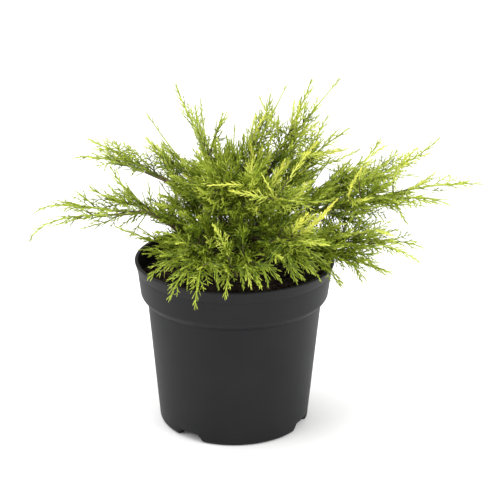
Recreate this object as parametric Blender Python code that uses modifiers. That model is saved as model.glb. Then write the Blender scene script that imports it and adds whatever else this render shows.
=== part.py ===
"""Potted spreading juniper with lime-green tips, in a black nursery pot.

Metres, +Z up. Seen from the front, +X is to the right and +Y to the back. The origin is the
centre of the flat pad under the pot, on the surface that the pot stands on. A heading is an
angle in degrees seen from above: 0 right, 90 back, 180 left, 270 front.
"""
import itertools
import math

import bmesh
import bpy
import numpy as np
from mathutils import Vector

MM = 0.001
GAP = 0.3 * MM              # between pieces that touch
SEAM = 0.01 * MM            # points of a turned shape closer than this are one
WELD = 0.001 * MM           # the same where caps and sprays are joined

# Pot: a 19.5 cm nursery pot with a deep collar, injection-moulded with a thin wall
POT_HEIGHT = 168 * MM
RIM_RADIUS = 97.6 * MM      # outside, at the lip
LIP_DROP = 11.5 * MM        # down to where the lip's flare ends in the collar
COLLAR_HEIGHT = 32.5 * MM
COLLAR_TOP_RADIUS = 94.7 * MM   # at the end of the lip's flare
COLLAR_FOOT_RADIUS = 92.3 * MM
SHOULDER_DROP = 9.5 * MM    # the rounded step from the collar in to the body
BODY_TOP_RADIUS = 85.6 * MM
BASE_RADIUS = 74.9 * MM
CORNER_RADIUS = 4 * MM      # rounded bottom corner
WALL = 2.0 * MM
LIP_WIDTH = 3.5 * MM
LIP_HEIGHT = 2.4 * MM
FOOT_WIDTH = 9 * MM         # radial width of the foot ring
FLOOR_RAISE = 7 * MM        # underside of the floor above the foot
PAD_RADIUS = 20 * MM        # moulding pad in the middle of the underside
POT_STEPS = 36
RIM_WALL = 4.5 * MM         # from the lip's outside to where foliage may dip to the peat
POT_CLEARANCE = 1.5 * MM    # of foliage from pot and peat

# Drain notches in the foot, as headings of their middles
NOTCH_HEADINGS = (234.0, 334.5, 64.0, 144.0)
NOTCH_HEIGHT = 6.5 * MM
NOTCH_WIDTH = 31 * MM       # at the bottom
NOTCH_SLANT = 5 * MM        # narrower by this on each side at the top
NOTCH_DEPTH = 2.2 * FOOT_WIDTH  # of the wedge that cuts it

# Peat
SOIL_DROP = 18 * MM         # below the rim
SOIL_TOP = POT_HEIGHT - SOIL_DROP

# Stem: short, hidden in the crown, with a root flare at the soil
STEM_FLARE_RADIUS = 10 * MM
STEM_RADIUS = 7.2 * MM
STEM_TOP_RADIUS = 6.6 * MM
FLARE_SHARE = 0.14          # of the stem's height that the root flare takes
STEM_TOP = 206 * MM
STEM_LEAN = 3 * MM          # sideways, over the stem's height
UPRIGHT_FOOT, UPRIGHT_TIP = 0.1, 0.95   # shares of the height between which it leans
STEM_RINGS = (0.0, 0.07, 0.15, 0.5, 0.95, 1.0)
WHORL_HEIGHTS = (159 * MM, 169 * MM, 179 * MM, 189 * MM, 198 * MM)
STEM_TIP = len(WHORL_HEIGHTS)   # a bough with this whorl starts on the stem's top

# Boughs
BOUGH_BASE_RADIUS = 3.0 * MM
BOUGH_TIP_RADIUS = 2.5 * MM
BOUGH_POINTS = 6
HANDLE = 0.34               # of a curve's length, from its end to its Bezier handle
STEM_HANDLE = 0.3           # the same where a foliage stem leaves its bough
BOUGH_COLLAR = 2.5 * MM     # straight out of the stem before a bough bends
LEADER_OFFSET = 3.7 * MM    # of the boughs that share the stem's top, from its middle
LEADERS = 3                 # of them
FIRST_LEADER = 30.0         # heading of the first one's foot

# Foliage stems and their sprays
TWIG_BASE_RADIUS = 1.25 * MM
TWIG_TIP_RADIUS = 0.65 * MM
TWIG_POINTS = 6
PAIR_OFFSET = 1.45 * MM     # of two stems that share a bough's tip, from its middle
TRIO_OFFSET = 1.75 * MM
ROOT_TURNS = 24             # turns tried for the pair or trio round the bough's middle
SHOOT_SPACING = 11.0 * MM   # between side shoots along a stem
SPRAY_STRIDE = 2            # one spray stands for this many side shoots
SPRAY_GAIN = 1.35           # and is longer than they are, as their twiglets are left out
FIRST_SHOOT = 0.07          # along the stem
LAST_SHOOT = 0.86
LONGEST_SHARE = 0.35        # along the stem, where its side shoots are longest
FOOT_LENGTH = 0.62          # of the longest, for a side shoot at the stem's foot
TIP_LOSS = 0.72             # of the longest, that the last side shoot lacks
LOSS_POWER = 1.1            # of the share beyond the longest, for the loss there
FEWEST_SHOOTS = 6           # on a stem
SHORTEST, LONGEST_MORE = 0.85, 0.3  # least share of its length a shoot strays to, and the range
ROLL_RANGE = 25.0           # degrees that side shoots stray round their stem
FORWARD_RANGE = 8.0         # and from their angle to it
TIP_SPRAY_LENGTH = 34 * MM
TIP_SPRAY_WIDTH = 4.2 * MM
TIP_SPRAY_CLEAR = 0.8       # share of the tip spray's length that is past the stem's end
SPRAY_WIDTH_RATIO = 0.29    # half width to length
SPRAY_BEND = 0.16
ROOT_SHARE = 0.42           # half width and thickness of a spray's root, to its stem's radius
RIDGE_HALF = 0.95 * MM      # half thickness at a spray's middle
FORWARD_START = 41.0        # degrees between stem and side shoot, at the stem's foot
FORWARD_END = 26.0          # and near its tip
GOLDEN_ANGLE = 137.5
CROSS_FLATTEN = 0.6         # shoots spread less up and down than sideways
SHRINKS = (1.0, 0.85, 0.7, 0.55, 0.42)
TURNS = (0, 50, -50, 100, -100, 180)   # of a shoot round its stem, to find room
SPACE_MARGIN = 0.9 * MM
LIMB_MARGIN = 1.0 * MM
AXIS_SAMPLES = 70
LIMB_SAMPLES = 5            # along each straight stretch of a bough
EDGE_SAMPLES = (0.0, 0.33, 0.67)   # along each straight edge of a spray

# Teeth of a spray: how far along, and how wide as a share of the half width
TWO_TEETH = ((0.40, 1.00), (0.52, 0.36), (0.76, 0.72))
THREE_TEETH = ((0.27, 0.84), (0.37, 0.34), (0.54, 1.00), (0.65, 0.34), (0.82, 0.60))
TWO_RIDGES = (0.0, 0.50)
THREE_RIDGES = (0.0, 0.36, 0.64)
LONG_SPRAY = 52 * MM        # from here on a spray has three teeth a side

# Boughs and the stems of foliage each one carries.
# Bough: name, whorl, fork (heading, reach, height in mm).
# Foliage: heading, reach and height of its tip in mm, lean of its end (up +, down -),
# length of its longest side shoots in mm.
CROWN = (
    ("left_under", 0, (199, 41, 179), ((189, 117, 206, 0.2, 22), (208, 98, 187, 0.0, 26))),
    ("front", 0, (268, 36, 186), ((266, 121, 171, -0.8, 30), (282, 118, 179, -0.6, 28))),
    ("right_low", 0, (346, 51, 187),
     ((352, 183, 187, -0.4, 48), (342, 158, 169, -0.1, 40), (331, 117, 159, -0.3, 34))),
    ("back_low", 0, (86, 42, 190),
     ((59, 172, 204, -0.2, 56), (87, 176, 199, -0.3, 56), (115, 173, 202, -0.2, 56))),
    ("left_low", 1, (187, 95, 217), ((189, 198, 192, -2.4, 18), (180, 194, 212, -0.7, 24))),
    ("front_left", 1, (238, 39, 196),
     ((228, 119, 177, -0.6, 32), (243, 130, 167, -0.7, 32), (254, 129, 163, -0.7, 30))),
    ("right_front", 1, (303, 39, 198), ((307, 138, 222, -0.1, 38), (308, 117, 185, -0.5, 36))),
    ("right_far", 1, (0, 74, 215), ((0, 239, 243, -0.25, 44), (354, 205, 229, -0.5, 46))),
    ("left_mid", 2, (175, 81, 211), ((167, 125, 252, 0.9, 24), (180, 140, 239, 0.4, 34))),
    ("right_high", 2, (15, 60, 215),
     ((28, 167, 269, 0.9, 42), (16, 212, 275, 0.6, 44), (7, 183, 243, -0.5, 38))),
    ("left_high", 3, (161, 71, 239), ((160, 174, 250, -0.45, 32), (149, 176, 262, -0.1, 38))),
    ("right_up", 3, (31, 43, 224), ((22, 122, 287, -0.2, 36), (46, 136, 287, 0.3, 38))),
    ("back_left", 4, (139, 43, 230), ((135, 128, 290, 0.1, 26), (147, 105, 273, 0.3, 38))),
    ("top_right", 4, (40, 39, 240), ((28, 84, 338, 0.3, 36), (32, 123, 333, -0.15, 30))),
    ("top_left", 5, (142, 32, 261),
     ((134, 85, 326, 0.3, 28), (113, 90, 307, 0.9, 14), (102, 43, 301, -0.2, 30))),
    ("top_mid", 5, (58, 20, 249), ((55, 61, 320, 0.3, 30), (54, 87, 324, -0.1, 30))),
    ("front_up", 5, (262, 16, 226),
     ((220, 47, 284, 0.4, 36), (292, 65, 280, 0.3, 38), (314, 131, 258, 0.2, 34))),
)

POT_COLOUR = (0.028, 0.029, 0.030)
POT_ROUGHNESS = 0.55
SOIL_COLOUR = (0.022, 0.015, 0.010)
SOIL_ROUGHNESS = 0.95
BARK_COLOUR = (0.105, 0.062, 0.036)
BARK_ROUGHNESS = 0.85
LEAF_COLOURS = ((0.140, 0.200, 0.012), (0.230, 0.306, 0.018), (0.376, 0.456, 0.042))
LEAF_ROUGHNESS = 0.5


def clear_scene():
    for item in list(bpy.data.objects):
        bpy.data.objects.remove(item, do_unlink=True)


def make_collection(name):
    collection = bpy.data.collections.new(name)
    bpy.context.scene.collection.children.link(collection)
    return collection


def make_material(name, colour, roughness):
    material = bpy.data.materials.new(name)
    material.use_nodes = True
    shader = material.node_tree.nodes["Principled BSDF"]
    shader.inputs["Base Color"].default_value = (*colour, 1.0)
    shader.inputs["Roughness"].default_value = roughness
    shader.inputs["Metallic"].default_value = 0.0
    material.diffuse_color = (*colour, 1.0)
    return material


def add_object(name, data, collection, material=None):
    item = bpy.data.objects.new(name, data)
    collection.objects.link(item)
    if material:
        item.data.materials.append(material)
    return item


def realise(item):
    """The object's evaluated mesh, with its end caps welded on."""
    bpy.context.view_layer.update()
    evaluated = item.evaluated_get(bpy.context.evaluated_depsgraph_get())
    mesh = bpy.data.meshes.new_from_object(evaluated)
    cage = bmesh.new()
    cage.from_mesh(mesh)
    bmesh.ops.remove_doubles(cage, verts=cage.verts, dist=WELD)
    bmesh.ops.recalc_face_normals(cage, faces=cage.faces)
    cage.to_mesh(mesh)
    cage.free()
    return mesh


def polar(heading, reach, height):
    angle = math.radians(heading)
    return np.array((reach * math.cos(angle), reach * math.sin(angle), height))


def unit(vector):
    return vector / np.linalg.norm(vector)


def jitter(seed, shoot, channel):
    """A repeatable number from 0 to 1 for one property of one shoot."""
    value = math.sin(seed * 12.9898 + shoot * 78.233 + channel * 37.719) * 43758.5453
    return value - math.floor(value)


# Pot and soil

def arc(centre, radius, start, end, count):
    """Points on an arc in the profile plane, angles in degrees."""
    angles = np.radians(np.linspace(start, end, count))
    return [(centre[0] + radius * math.cos(a), centre[1] + radius * math.sin(a)) for a in angles]


def turn(name, profile, steps, collection, material):
    """A profile of (radius, height) pairs turned about Z."""
    mesh = bpy.data.meshes.new(name)
    points = [(radius, 0.0, height) for radius, height in profile]
    edges = [(i, i + 1) for i in range(len(points) - 1)]
    mesh.from_pydata(points, edges, [])
    item = add_object(name, mesh, collection, material)
    screw = item.modifiers.new("Turn", "SCREW")
    screw.steps = steps
    screw.render_steps = steps
    screw.use_merge_vertices = True
    screw.merge_threshold = SEAM
    screw.use_smooth_shade = True
    return item


COLLAR_FOOT = POT_HEIGHT - COLLAR_HEIGHT
BODY_TOP = COLLAR_FOOT - SHOULDER_DROP
FLOOR_TOP = FLOOR_RAISE + WALL


def inner_radius(height):
    """Inside of the body's wall at a height below the shoulder."""
    share = (height - CORNER_RADIUS) / (BODY_TOP - CORNER_RADIUS)
    return BASE_RADIUS + share * (BODY_TOP_RADIUS - BASE_RADIUS) - WALL


def collar_inside(height):
    """Inside of the collar's wall."""
    share = (height - COLLAR_FOOT) / (COLLAR_HEIGHT - LIP_DROP)
    return COLLAR_FOOT_RADIUS + share * (COLLAR_TOP_RADIUS - COLLAR_FOOT_RADIUS) - WALL


def shoulder(share):
    """A point of the shoulder, by a quarter of a cosine wave from the collar to the body."""
    rest = math.cos(0.5 * math.pi * share)
    radius = BODY_TOP_RADIUS + rest * (COLLAR_FOOT_RADIUS - BODY_TOP_RADIUS)
    return radius, COLLAR_FOOT - share * SHOULDER_DROP


def pot_profile():
    """From the middle of the floor's top, up the inside, over the lip and down the outside."""
    inside = [(0.0, FLOOR_TOP),
              (inner_radius(FLOOR_TOP), FLOOR_TOP),
              (inner_radius(BODY_TOP), BODY_TOP),
              (collar_inside(COLLAR_FOOT), COLLAR_FOOT),
              (collar_inside(POT_HEIGHT - 2 * LIP_HEIGHT), POT_HEIGHT - 2 * LIP_HEIGHT),
              (RIM_RADIUS - LIP_WIDTH, POT_HEIGHT - LIP_HEIGHT)]
    round_off = LIP_HEIGHT / 2
    lip = arc((RIM_RADIUS - LIP_WIDTH + round_off, POT_HEIGHT - round_off), round_off, 160, 90, 3)
    lip += arc((RIM_RADIUS - round_off, POT_HEIGHT - round_off), round_off, 90, 0, 3)
    outside = [(COLLAR_TOP_RADIUS, POT_HEIGHT - LIP_DROP)]
    outside += [shoulder(share) for share in (0.0, 1 / 3, 2 / 3, 1.0)]
    corner = arc((BASE_RADIUS - CORNER_RADIUS, CORNER_RADIUS), CORNER_RADIUS, 0, -90, 4)
    foot_inside = BASE_RADIUS - FOOT_WIDTH
    under = [(foot_inside, 0.0),
             (foot_inside - MM, FLOOR_RAISE),
             (PAD_RADIUS + MM, FLOOR_RAISE),
             (PAD_RADIUS, 0.0),
             (0.0, 0.0)]
    return inside + lip + outside + corner + under


def soil_profile():
    """The peat fills the pot, clear of its wall and floor."""
    bottom = FLOOR_TOP + GAP
    return [(0.0, SOIL_TOP),
            (collar_inside(SOIL_TOP) - GAP, SOIL_TOP),
            (collar_inside(COLLAR_FOOT) - GAP, COLLAR_FOOT),
            (inner_radius(BODY_TOP) - 2 * GAP, BODY_TOP),
            (inner_radius(bottom) - 2 * GAP, bottom),
            (0.0, bottom)]


def notch_cutter(heading, collection):
    """A wedge with slanted ends that cuts one drain notch through the foot ring."""
    bpy.ops.mesh.primitive_cube_add(size=1.0)
    cutter = bpy.context.object
    cutter.name = "notch_%03d" % round(heading)
    for other in list(cutter.users_collection):
        other.objects.unlink(cutter)
    collection.objects.link(cutter)
    for vertex in cutter.data.vertices:
        top = vertex.co.z > 0
        half = NOTCH_WIDTH / 2 - (NOTCH_SLANT if top else 0.0)
        vertex.co.x *= NOTCH_DEPTH
        vertex.co.y = math.copysign(half, vertex.co.y)
        vertex.co.z = NOTCH_HEIGHT if top else -NOTCH_HEIGHT
    cutter.location = Vector(polar(heading, BASE_RADIUS - FOOT_WIDTH / 2, 0.0))
    cutter.rotation_euler.z = math.radians(heading)
    cutter.display_type = "WIRE"
    cutter.hide_render = True
    return cutter


def make_pot(collection, cutters):
    plastic = make_material("black_plastic", POT_COLOUR, POT_ROUGHNESS)
    pot = turn("pot", pot_profile(), POT_STEPS, collection, plastic)
    for heading in NOTCH_HEADINGS:
        cut = pot.modifiers.new("Notch", "BOOLEAN")
        cut.object = notch_cutter(heading, cutters)
    peat = make_material("peat", SOIL_COLOUR, SOIL_ROUGHNESS)
    turn("soil", soil_profile(), POT_STEPS, collection, peat)


# Limbs

def bezier(start, first, second, end, count):
    t = np.linspace(0.0, 1.0, count)[:, None]
    return ((1 - t) ** 3 * start + 3 * (1 - t) ** 2 * t * first
            + 3 * (1 - t) * t ** 2 * second + t ** 3 * end)


def sweep(name, points, radii, collection, section=None, resolution=1):
    """A tapering limb along the points: round, or with the section's own outline."""
    curve = bpy.data.curves.new(name, "CURVE")
    curve.dimensions = "3D"
    curve.use_fill_caps = True
    if section:
        curve.bevel_mode = "OBJECT"
        curve.bevel_object = section
    else:
        curve.bevel_depth = MM
        curve.bevel_resolution = resolution
    spline = curve.splines.new("POLY")
    spline.points.add(len(points) - 1)
    for place, point, radius in zip(spline.points, points, radii):
        place.co = (*point, 1.0)
        place.radius = radius / MM
    path = add_object(name + "_path", curve, collection)
    limb = add_object(name, realise(path), collection)
    bpy.data.objects.remove(path, do_unlink=True)
    bpy.data.curves.remove(curve)
    return limb


def triangle_section(collection):
    """A three-cornered outline, 1 mm from its middle to each corner."""
    curve = bpy.data.curves.new("three_sided", "CURVE")
    curve.dimensions = "2D"
    spline = curve.splines.new("POLY")
    spline.points.add(2)
    spline.use_cyclic_u = True
    for corner, place in enumerate(spline.points):
        angle = math.radians(90 + 120 * corner)
        place.co = (MM * math.cos(angle), MM * math.sin(angle), 0.0, 1.0)
    section = add_object("three_sided", curve, collection)
    section.hide_render = True
    section.display_type = "WIRE"
    return section


def stem_axis(height):
    """Middle of the stem at a height: upright out of the soil, then leaning a little."""
    share = (height - SOIL_TOP) / (STEM_TOP - SOIL_TOP)
    lean = STEM_LEAN * min(max(share, UPRIGHT_FOOT), UPRIGHT_TIP)
    return np.array((lean, 0.0, height))


def stem_radius(height):
    share = (height - SOIL_TOP) / (STEM_TOP - SOIL_TOP)
    flare = max(0.0, 1.0 - share / FLARE_SHARE)
    body = STEM_RADIUS + share * (STEM_TOP_RADIUS - STEM_RADIUS)
    return body + flare ** 2 * (STEM_FLARE_RADIUS - STEM_RADIUS)


def make_stem(collection, bark):
    length = STEM_TOP - SOIL_TOP - GAP
    heights = [SOIL_TOP + GAP + share * length for share in STEM_RINGS]
    points = [stem_axis(h) for h in heights]
    radii = [stem_radius(h) for h in heights]
    stem = sweep("stem", points, radii, collection, resolution=3)
    stem.data.materials.append(bark)
    stem.data.shade_smooth()


def bough_path(whorl, fork, tips, leader_heading):
    """From the stem outwards, then bending towards the foliage that the bough carries."""
    heading, reach, height = fork
    end = polar(heading, reach * MM, height * MM)
    outward = polar(heading, 1.0, 0.0)
    onward = unit(np.mean(tips, axis=0) - end)
    if whorl == STEM_TIP:
        start = stem_axis(STEM_TOP + GAP) + polar(leader_heading, LEADER_OFFSET, 0.0)
        leave = np.array((0.0, 0.0, 1.0))
    else:
        level = WHORL_HEIGHTS[whorl]
        start = stem_axis(level) + outward * (stem_radius(level) + GAP)
        leave = outward
    bend = start + leave * BOUGH_COLLAR
    length = np.linalg.norm(end - bend)
    curve = bezier(bend, bend + leave * HANDLE * length, end - onward * HANDLE * length, end,
                   BOUGH_POINTS - 1)
    return np.vstack([start, curve])


def root_offsets(fork, onward, tips):
    """Places side by side on a bough's tip for the stems it carries, each towards its own tip.

    The places are a pair or a trio on a circle round the bough's middle. Of all turns and
    orders, the one whose places point best towards the tips is taken.
    """
    pulls = [tip - fork - np.dot(tip - fork, onward) * onward for tip in tips]
    middle = np.mean(pulls, axis=0)
    across = unit(pulls[0] - middle)
    upward = np.cross(onward, across)
    circle = PAIR_OFFSET if len(tips) == 2 else TRIO_OFFSET
    best, best_score = None, -math.inf
    for turn_step in range(ROOT_TURNS):
        first = 2 * math.pi * turn_step / ROOT_TURNS
        for order in itertools.permutations(range(len(tips))):
            angles = [first + 2 * math.pi * rank / len(tips) for rank in order]
            places = [circle * (math.cos(a) * across + math.sin(a) * upward) for a in angles]
            score = sum(np.dot(place, pull - middle) for place, pull in zip(places, pulls))
            if score > best_score:
                best, best_score = places, score
    return best


def foliage_axis(start, onward, tip, lean, count):
    """A foliage stem from its bough's tip, bending to the tip of the plume."""
    length = np.linalg.norm(tip - start)
    ending = unit(unit(tip - start) + lean * np.array((0.0, 0.0, 1.0)))
    first = start + onward * STEM_HANDLE * length
    return bezier(start, first, tip - ending * HANDLE * length, tip, count)


# Sprays

def shoot_length(share):
    """Side shoots are longest a third of the way along and short near the tip."""
    if share < LONGEST_SHARE:
        rise = math.sin(0.5 * math.pi * share / LONGEST_SHARE)
        return FOOT_LENGTH + (1.0 - FOOT_LENGTH) * rise
    return 1.0 - TIP_LOSS * ((share - LONGEST_SHARE) / (LAST_SHOOT - LONGEST_SHARE)) ** LOSS_POWER


def side_shoots(axis, longest, seed):
    """Side shoots along a stem: share, root, frame (along, side, up), roll, forward, length."""
    steps = np.linalg.norm(np.diff(axis, axis=0), axis=1)
    count = max(FEWEST_SHOOTS, int(steps.sum() / SHOOT_SPACING))
    shoots = []
    for k in range(count):
        share = FIRST_SHOOT + (LAST_SHOOT - FIRST_SHOOT) * (k + 0.5) / count
        where = share * (len(axis) - 1)
        index = int(where)
        root = axis[index] + (where - index) * (axis[index + 1] - axis[index])
        along = unit(axis[index + 1] - axis[index])
        side = unit(np.cross(along, (0.0, 0.0, 1.0)))
        frame = (along, side, np.cross(side, along))
        roll = GOLDEN_ANGLE * k + ROLL_RANGE * (jitter(seed, k, 1) - 0.5)
        forward = FORWARD_START + share * (FORWARD_END - FORWARD_START)
        forward += FORWARD_RANGE * (jitter(seed, k, 2) - 0.5)
        stray = SHORTEST + LONGEST_MORE * jitter(seed, k, 3)
        length = longest * shoot_length(share) * stray
        shoots.append((share, root, frame, roll, forward, length))
    return shoots


def shoot_direction(frame, roll, forward):
    """Where a shoot points, and the way it bends, back towards its stem's own direction."""
    along, side, up = frame
    roll, forward = math.radians(roll), math.radians(forward)
    across = unit(math.cos(roll) * side + CROSS_FLATTEN * math.sin(roll) * up)
    direction = math.cos(forward) * along + math.sin(forward) * across
    return direction, unit(along - np.dot(along, direction) * direction)


def spray_points(root, direction, bend, length, half_width, root_half):
    """A toothed blade in the plane of its stem: corner points, ridge points and their order."""
    teeth = THREE_TEETH if length > LONG_SPRAY else TWO_TEETH
    ridges = THREE_RIDGES if length > LONG_SPRAY else TWO_RIDGES
    normal = np.cross(direction, bend)

    def middle(share):
        return root + length * (share * direction + SPRAY_BEND * share ** 2 * bend)

    edge = [(0.0, root_half)] + [(share, width * half_width) for share, width in teeth]
    left = [middle(share) + width * bend for share, width in edge]
    right = [middle(share) - width * bend for share, width in edge]
    top, bottom = [], []
    for share in ridges:
        half = root_half if share == 0.0 else RIDGE_HALF
        top.append(middle(share) + half * normal)
        bottom.append(middle(share) - half * normal)
    shares = [share for share, _ in edge] + [1.0]
    return left, right, top, bottom, middle(1.0), shares, ridges


def spray_mesh(name, left, right, top, bottom, tip, shares, ridges):
    """Triangles zipped between the ridge and the toothed edge, on both faces of the blade."""
    cage = bmesh.new()
    tip_vertex = cage.verts.new(tip)
    edges = [[cage.verts.new(p) for p in side] + [tip_vertex] for side in (left, right)]
    crests = [[cage.verts.new(p) for p in side] for side in (top, bottom)]
    for crest in crests:
        for edge in edges:
            i, j = 0, 0
            while i < len(edge) - 1:
                if j == len(crest) - 1 or shares[i + 1] <= ridges[j + 1]:
                    cage.faces.new((crest[j], edge[i], edge[i + 1]))
                    i += 1
                else:
                    cage.faces.new((crest[j], edge[i], crest[j + 1]))
                    j += 1
    cage.faces.new((edges[0][0], crests[0][0], edges[1][0], crests[1][0]))
    bmesh.ops.recalc_face_normals(cage, faces=cage.faces)
    mesh = bpy.data.meshes.new(name)
    cage.to_mesh(mesh)
    cage.free()
    return mesh


def outline_samples(left, right, tip):
    """Points along a blade's edges, close enough together to test its place."""
    samples = []
    for side in (left, right):
        chain = np.array(list(side) + [tip])
        for share in EDGE_SAMPLES:
            samples.append(chain[:-1] + share * (chain[1:] - chain[:-1]))
    samples.append(np.array([tip]))
    return np.vstack(samples)


def nearest(points, others):
    gaps = points[:, None, :] - others[None, :, :]
    return np.sqrt((gaps ** 2).sum(axis=2)).min(axis=1)


def clear_of_pot(samples):
    """Over the soil, above the rim or outside it."""
    reach = np.hypot(samples[:, 0], samples[:, 1])
    height = samples[:, 2]
    in_soil = (reach < RIM_RADIUS - RIM_WALL) & (height < SOIL_TOP + POT_CLEARANCE)
    in_rim = (reach >= RIM_RADIUS - RIM_WALL) & (reach < RIM_RADIUS + POT_CLEARANCE)
    in_rim &= height < POT_HEIGHT + POT_CLEARANCE
    return not (in_soil | in_rim).any()


def has_room(samples, own, others, limbs):
    """In its own mass's space, off every limb, the pot and the soil."""
    if not clear_of_pot(samples):
        return False
    if (nearest(samples, own) + SPACE_MARGIN > nearest(samples, others)).any():
        return False
    return (nearest(samples, limbs) > BOUGH_BASE_RADIUS + LIMB_MARGIN).all()


def fitting_blade(shoot, own, others, limbs):
    """The largest spray that has room at a shoot, turned round the stem if need be."""
    share, root, frame, roll, forward, length = shoot
    root_half = ROOT_SHARE * (TWIG_BASE_RADIUS + share * (TWIG_TIP_RADIUS - TWIG_BASE_RADIUS))
    for shrink in SHRINKS:
        size = length * shrink
        for turned in TURNS:
            direction, bend = shoot_direction(frame, roll + turned, forward)
            blade = spray_points(root, direction, bend, size, SPRAY_WIDTH_RATIO * size, root_half)
            if has_room(outline_samples(blade[0], blade[1], blade[4]), own, others, limbs):
                return blade
    return None


def fuse(base, pieces):
    """One union of the base with all pieces, applied, without loose scraps or sealed hollows."""
    group = make_collection("fusing")
    for piece in pieces:
        group.objects.link(piece)
    union = base.modifiers.new("Union", "BOOLEAN")
    union.operation = "UNION"
    union.operand_type = "COLLECTION"
    union.collection = group
    for solver in ("EXACT", "MANIFOLD"):
        union.solver = solver
        mesh = realise(base)
        if is_closed(mesh):
            break
    base.modifiers.clear()
    old = base.data
    base.data = mesh
    bpy.data.meshes.remove(old)
    for piece in pieces:
        bpy.data.objects.remove(piece, do_unlink=True)
    bpy.data.collections.remove(group)
    keep_largest(mesh)


def is_closed(mesh):
    cage = bmesh.new()
    cage.from_mesh(mesh)
    closed = all(edge.is_manifold for edge in cage.edges)
    cage.free()
    return closed


def keep_largest(mesh):
    """Only the connected part with the most faces."""
    cage = bmesh.new()
    cage.from_mesh(mesh)
    left = set(cage.verts)
    parts = []
    while left:
        reached = {left.pop()}
        frontier = list(reached)
        while frontier:
            vertex = frontier.pop()
            for edge in vertex.link_edges:
                other = edge.other_vert(vertex)
                if other in left:
                    left.remove(other)
                    reached.add(other)
                    frontier.append(other)
        parts.append(reached)
    largest = max(parts, key=len)
    scraps = [vertex for part in parts if part is not largest for vertex in part]
    bmesh.ops.delete(cage, geom=scraps, context="VERTS")
    cage.to_mesh(mesh)
    cage.free()


def make_foliage(name, axis, others, limbs, longest, seed, section, collection):
    """One mass: a three-sided stem with toothed sprays fused on."""
    stem_length = np.linalg.norm(np.diff(axis, axis=0), axis=1).sum()
    stem_share = 1.0 - TIP_SPRAY_CLEAR * TIP_SPRAY_LENGTH / stem_length
    stem_end = int(round(stem_share * (len(axis) - 1)))
    picks = np.linspace(0, stem_end, TWIG_POINTS).round().astype(int)
    radii = np.linspace(TWIG_BASE_RADIUS, TWIG_TIP_RADIUS, TWIG_POINTS)
    stem = sweep(name, axis[picks], radii, collection, section=section)
    pieces = []
    for k, shoot in enumerate(side_shoots(axis, SPRAY_GAIN * longest * MM, seed)):
        blade = None if k % SPRAY_STRIDE else fitting_blade(shoot, axis, others, limbs)
        if blade:
            mesh = spray_mesh("%s_spray_%02d" % (name, k), *blade)
            pieces.append(bpy.data.objects.new(mesh.name, mesh))
    root = axis[stem_end - 2]
    direction = unit(axis[-1] - root)
    side = unit(np.cross(direction, (0.0, 0.0, 1.0)))
    reach = np.linalg.norm(axis[-1] - root)
    blade = spray_points(root, direction, side, reach, TIP_SPRAY_WIDTH,
                         ROOT_SHARE * TWIG_TIP_RADIUS)
    mesh = spray_mesh(name + "_tip", *blade)
    pieces.append(bpy.data.objects.new(mesh.name, mesh))
    fuse(stem, pieces)
    return stem


def make_crown(collection, guides):
    bark = make_material("bark", BARK_COLOUR, BARK_ROUGHNESS)
    greens = [make_material("foliage_%d" % rank, colour, LEAF_ROUGHNESS)
              for rank, colour in enumerate(LEAF_COLOURS)]
    make_stem(collection, bark)
    section = triangle_section(guides)
    leaders = sorted(fork[0] for _, whorl, fork, _ in CROWN if whorl == STEM_TIP)
    leader_headings = {heading: FIRST_LEADER + 360.0 * rank / LEADERS
                       for rank, heading in enumerate(leaders)}
    names, axes, longest, limbs = [], [], [], []
    for name, whorl, fork, plumes in CROWN:
        tips = [polar(h, r * MM, z * MM) for h, r, z, _, _ in plumes]
        path = bough_path(whorl, fork, tips, leader_headings.get(fork[0]))
        radii = np.linspace(BOUGH_BASE_RADIUS, BOUGH_TIP_RADIUS, BOUGH_POINTS)
        bough = sweep("bough_" + name, path, radii, collection)
        bough.data.materials.append(bark)
        bough.data.shade_smooth()
        limbs.append(limb_samples(path))
        onward = unit(path[-1] - path[-2])
        offsets = root_offsets(path[-1], onward, tips)
        for letter, tip, offset, plume in zip("abc", tips, offsets, plumes):
            start = path[-1] + onward * GAP + offset
            names.append("foliage_%s_%s" % (name, letter))
            axes.append(foliage_axis(start, onward, tip, plume[3], AXIS_SAMPLES))
            longest.append(plume[4])
    limbs = np.vstack(limbs)
    for seed, (name, axis) in enumerate(zip(names, axes)):
        others = np.vstack([other for other in axes if other is not axis])
        mass = make_foliage(name, axis, others, limbs, longest[seed], seed, section, collection)
        mass.data.materials.append(greens[seed % len(greens)])
    bpy.data.objects.remove(section, do_unlink=True)


def limb_samples(path):
    """More points along a bough, for the tests of clearance."""
    shares = np.linspace(0.0, 1.0, LIMB_SAMPLES + 1)[:-1, None]
    pieces = [a + shares * (b - a) for a, b in zip(path[:-1], path[1:])]
    return np.vstack(pieces + [path[-1:]])


def main():
    clear_scene()
    parts = make_collection("potted_juniper")
    guides = make_collection("cutters_and_guides")
    make_pot(parts, guides)
    make_crown(parts, guides)


main()
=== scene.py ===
"""Looks of a potted spreading juniper with lime-green tips, in a black nursery pot.

Metres, +Z up, +X to the right of the front view, origin on the ground under the pot's middle.
A heading is an angle in degrees seen from above: 0 right, 90 back, 180 left, 270 front.
"""
import itertools
import math

import bpy
import numpy as np
from mathutils import Matrix, Vector


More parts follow.
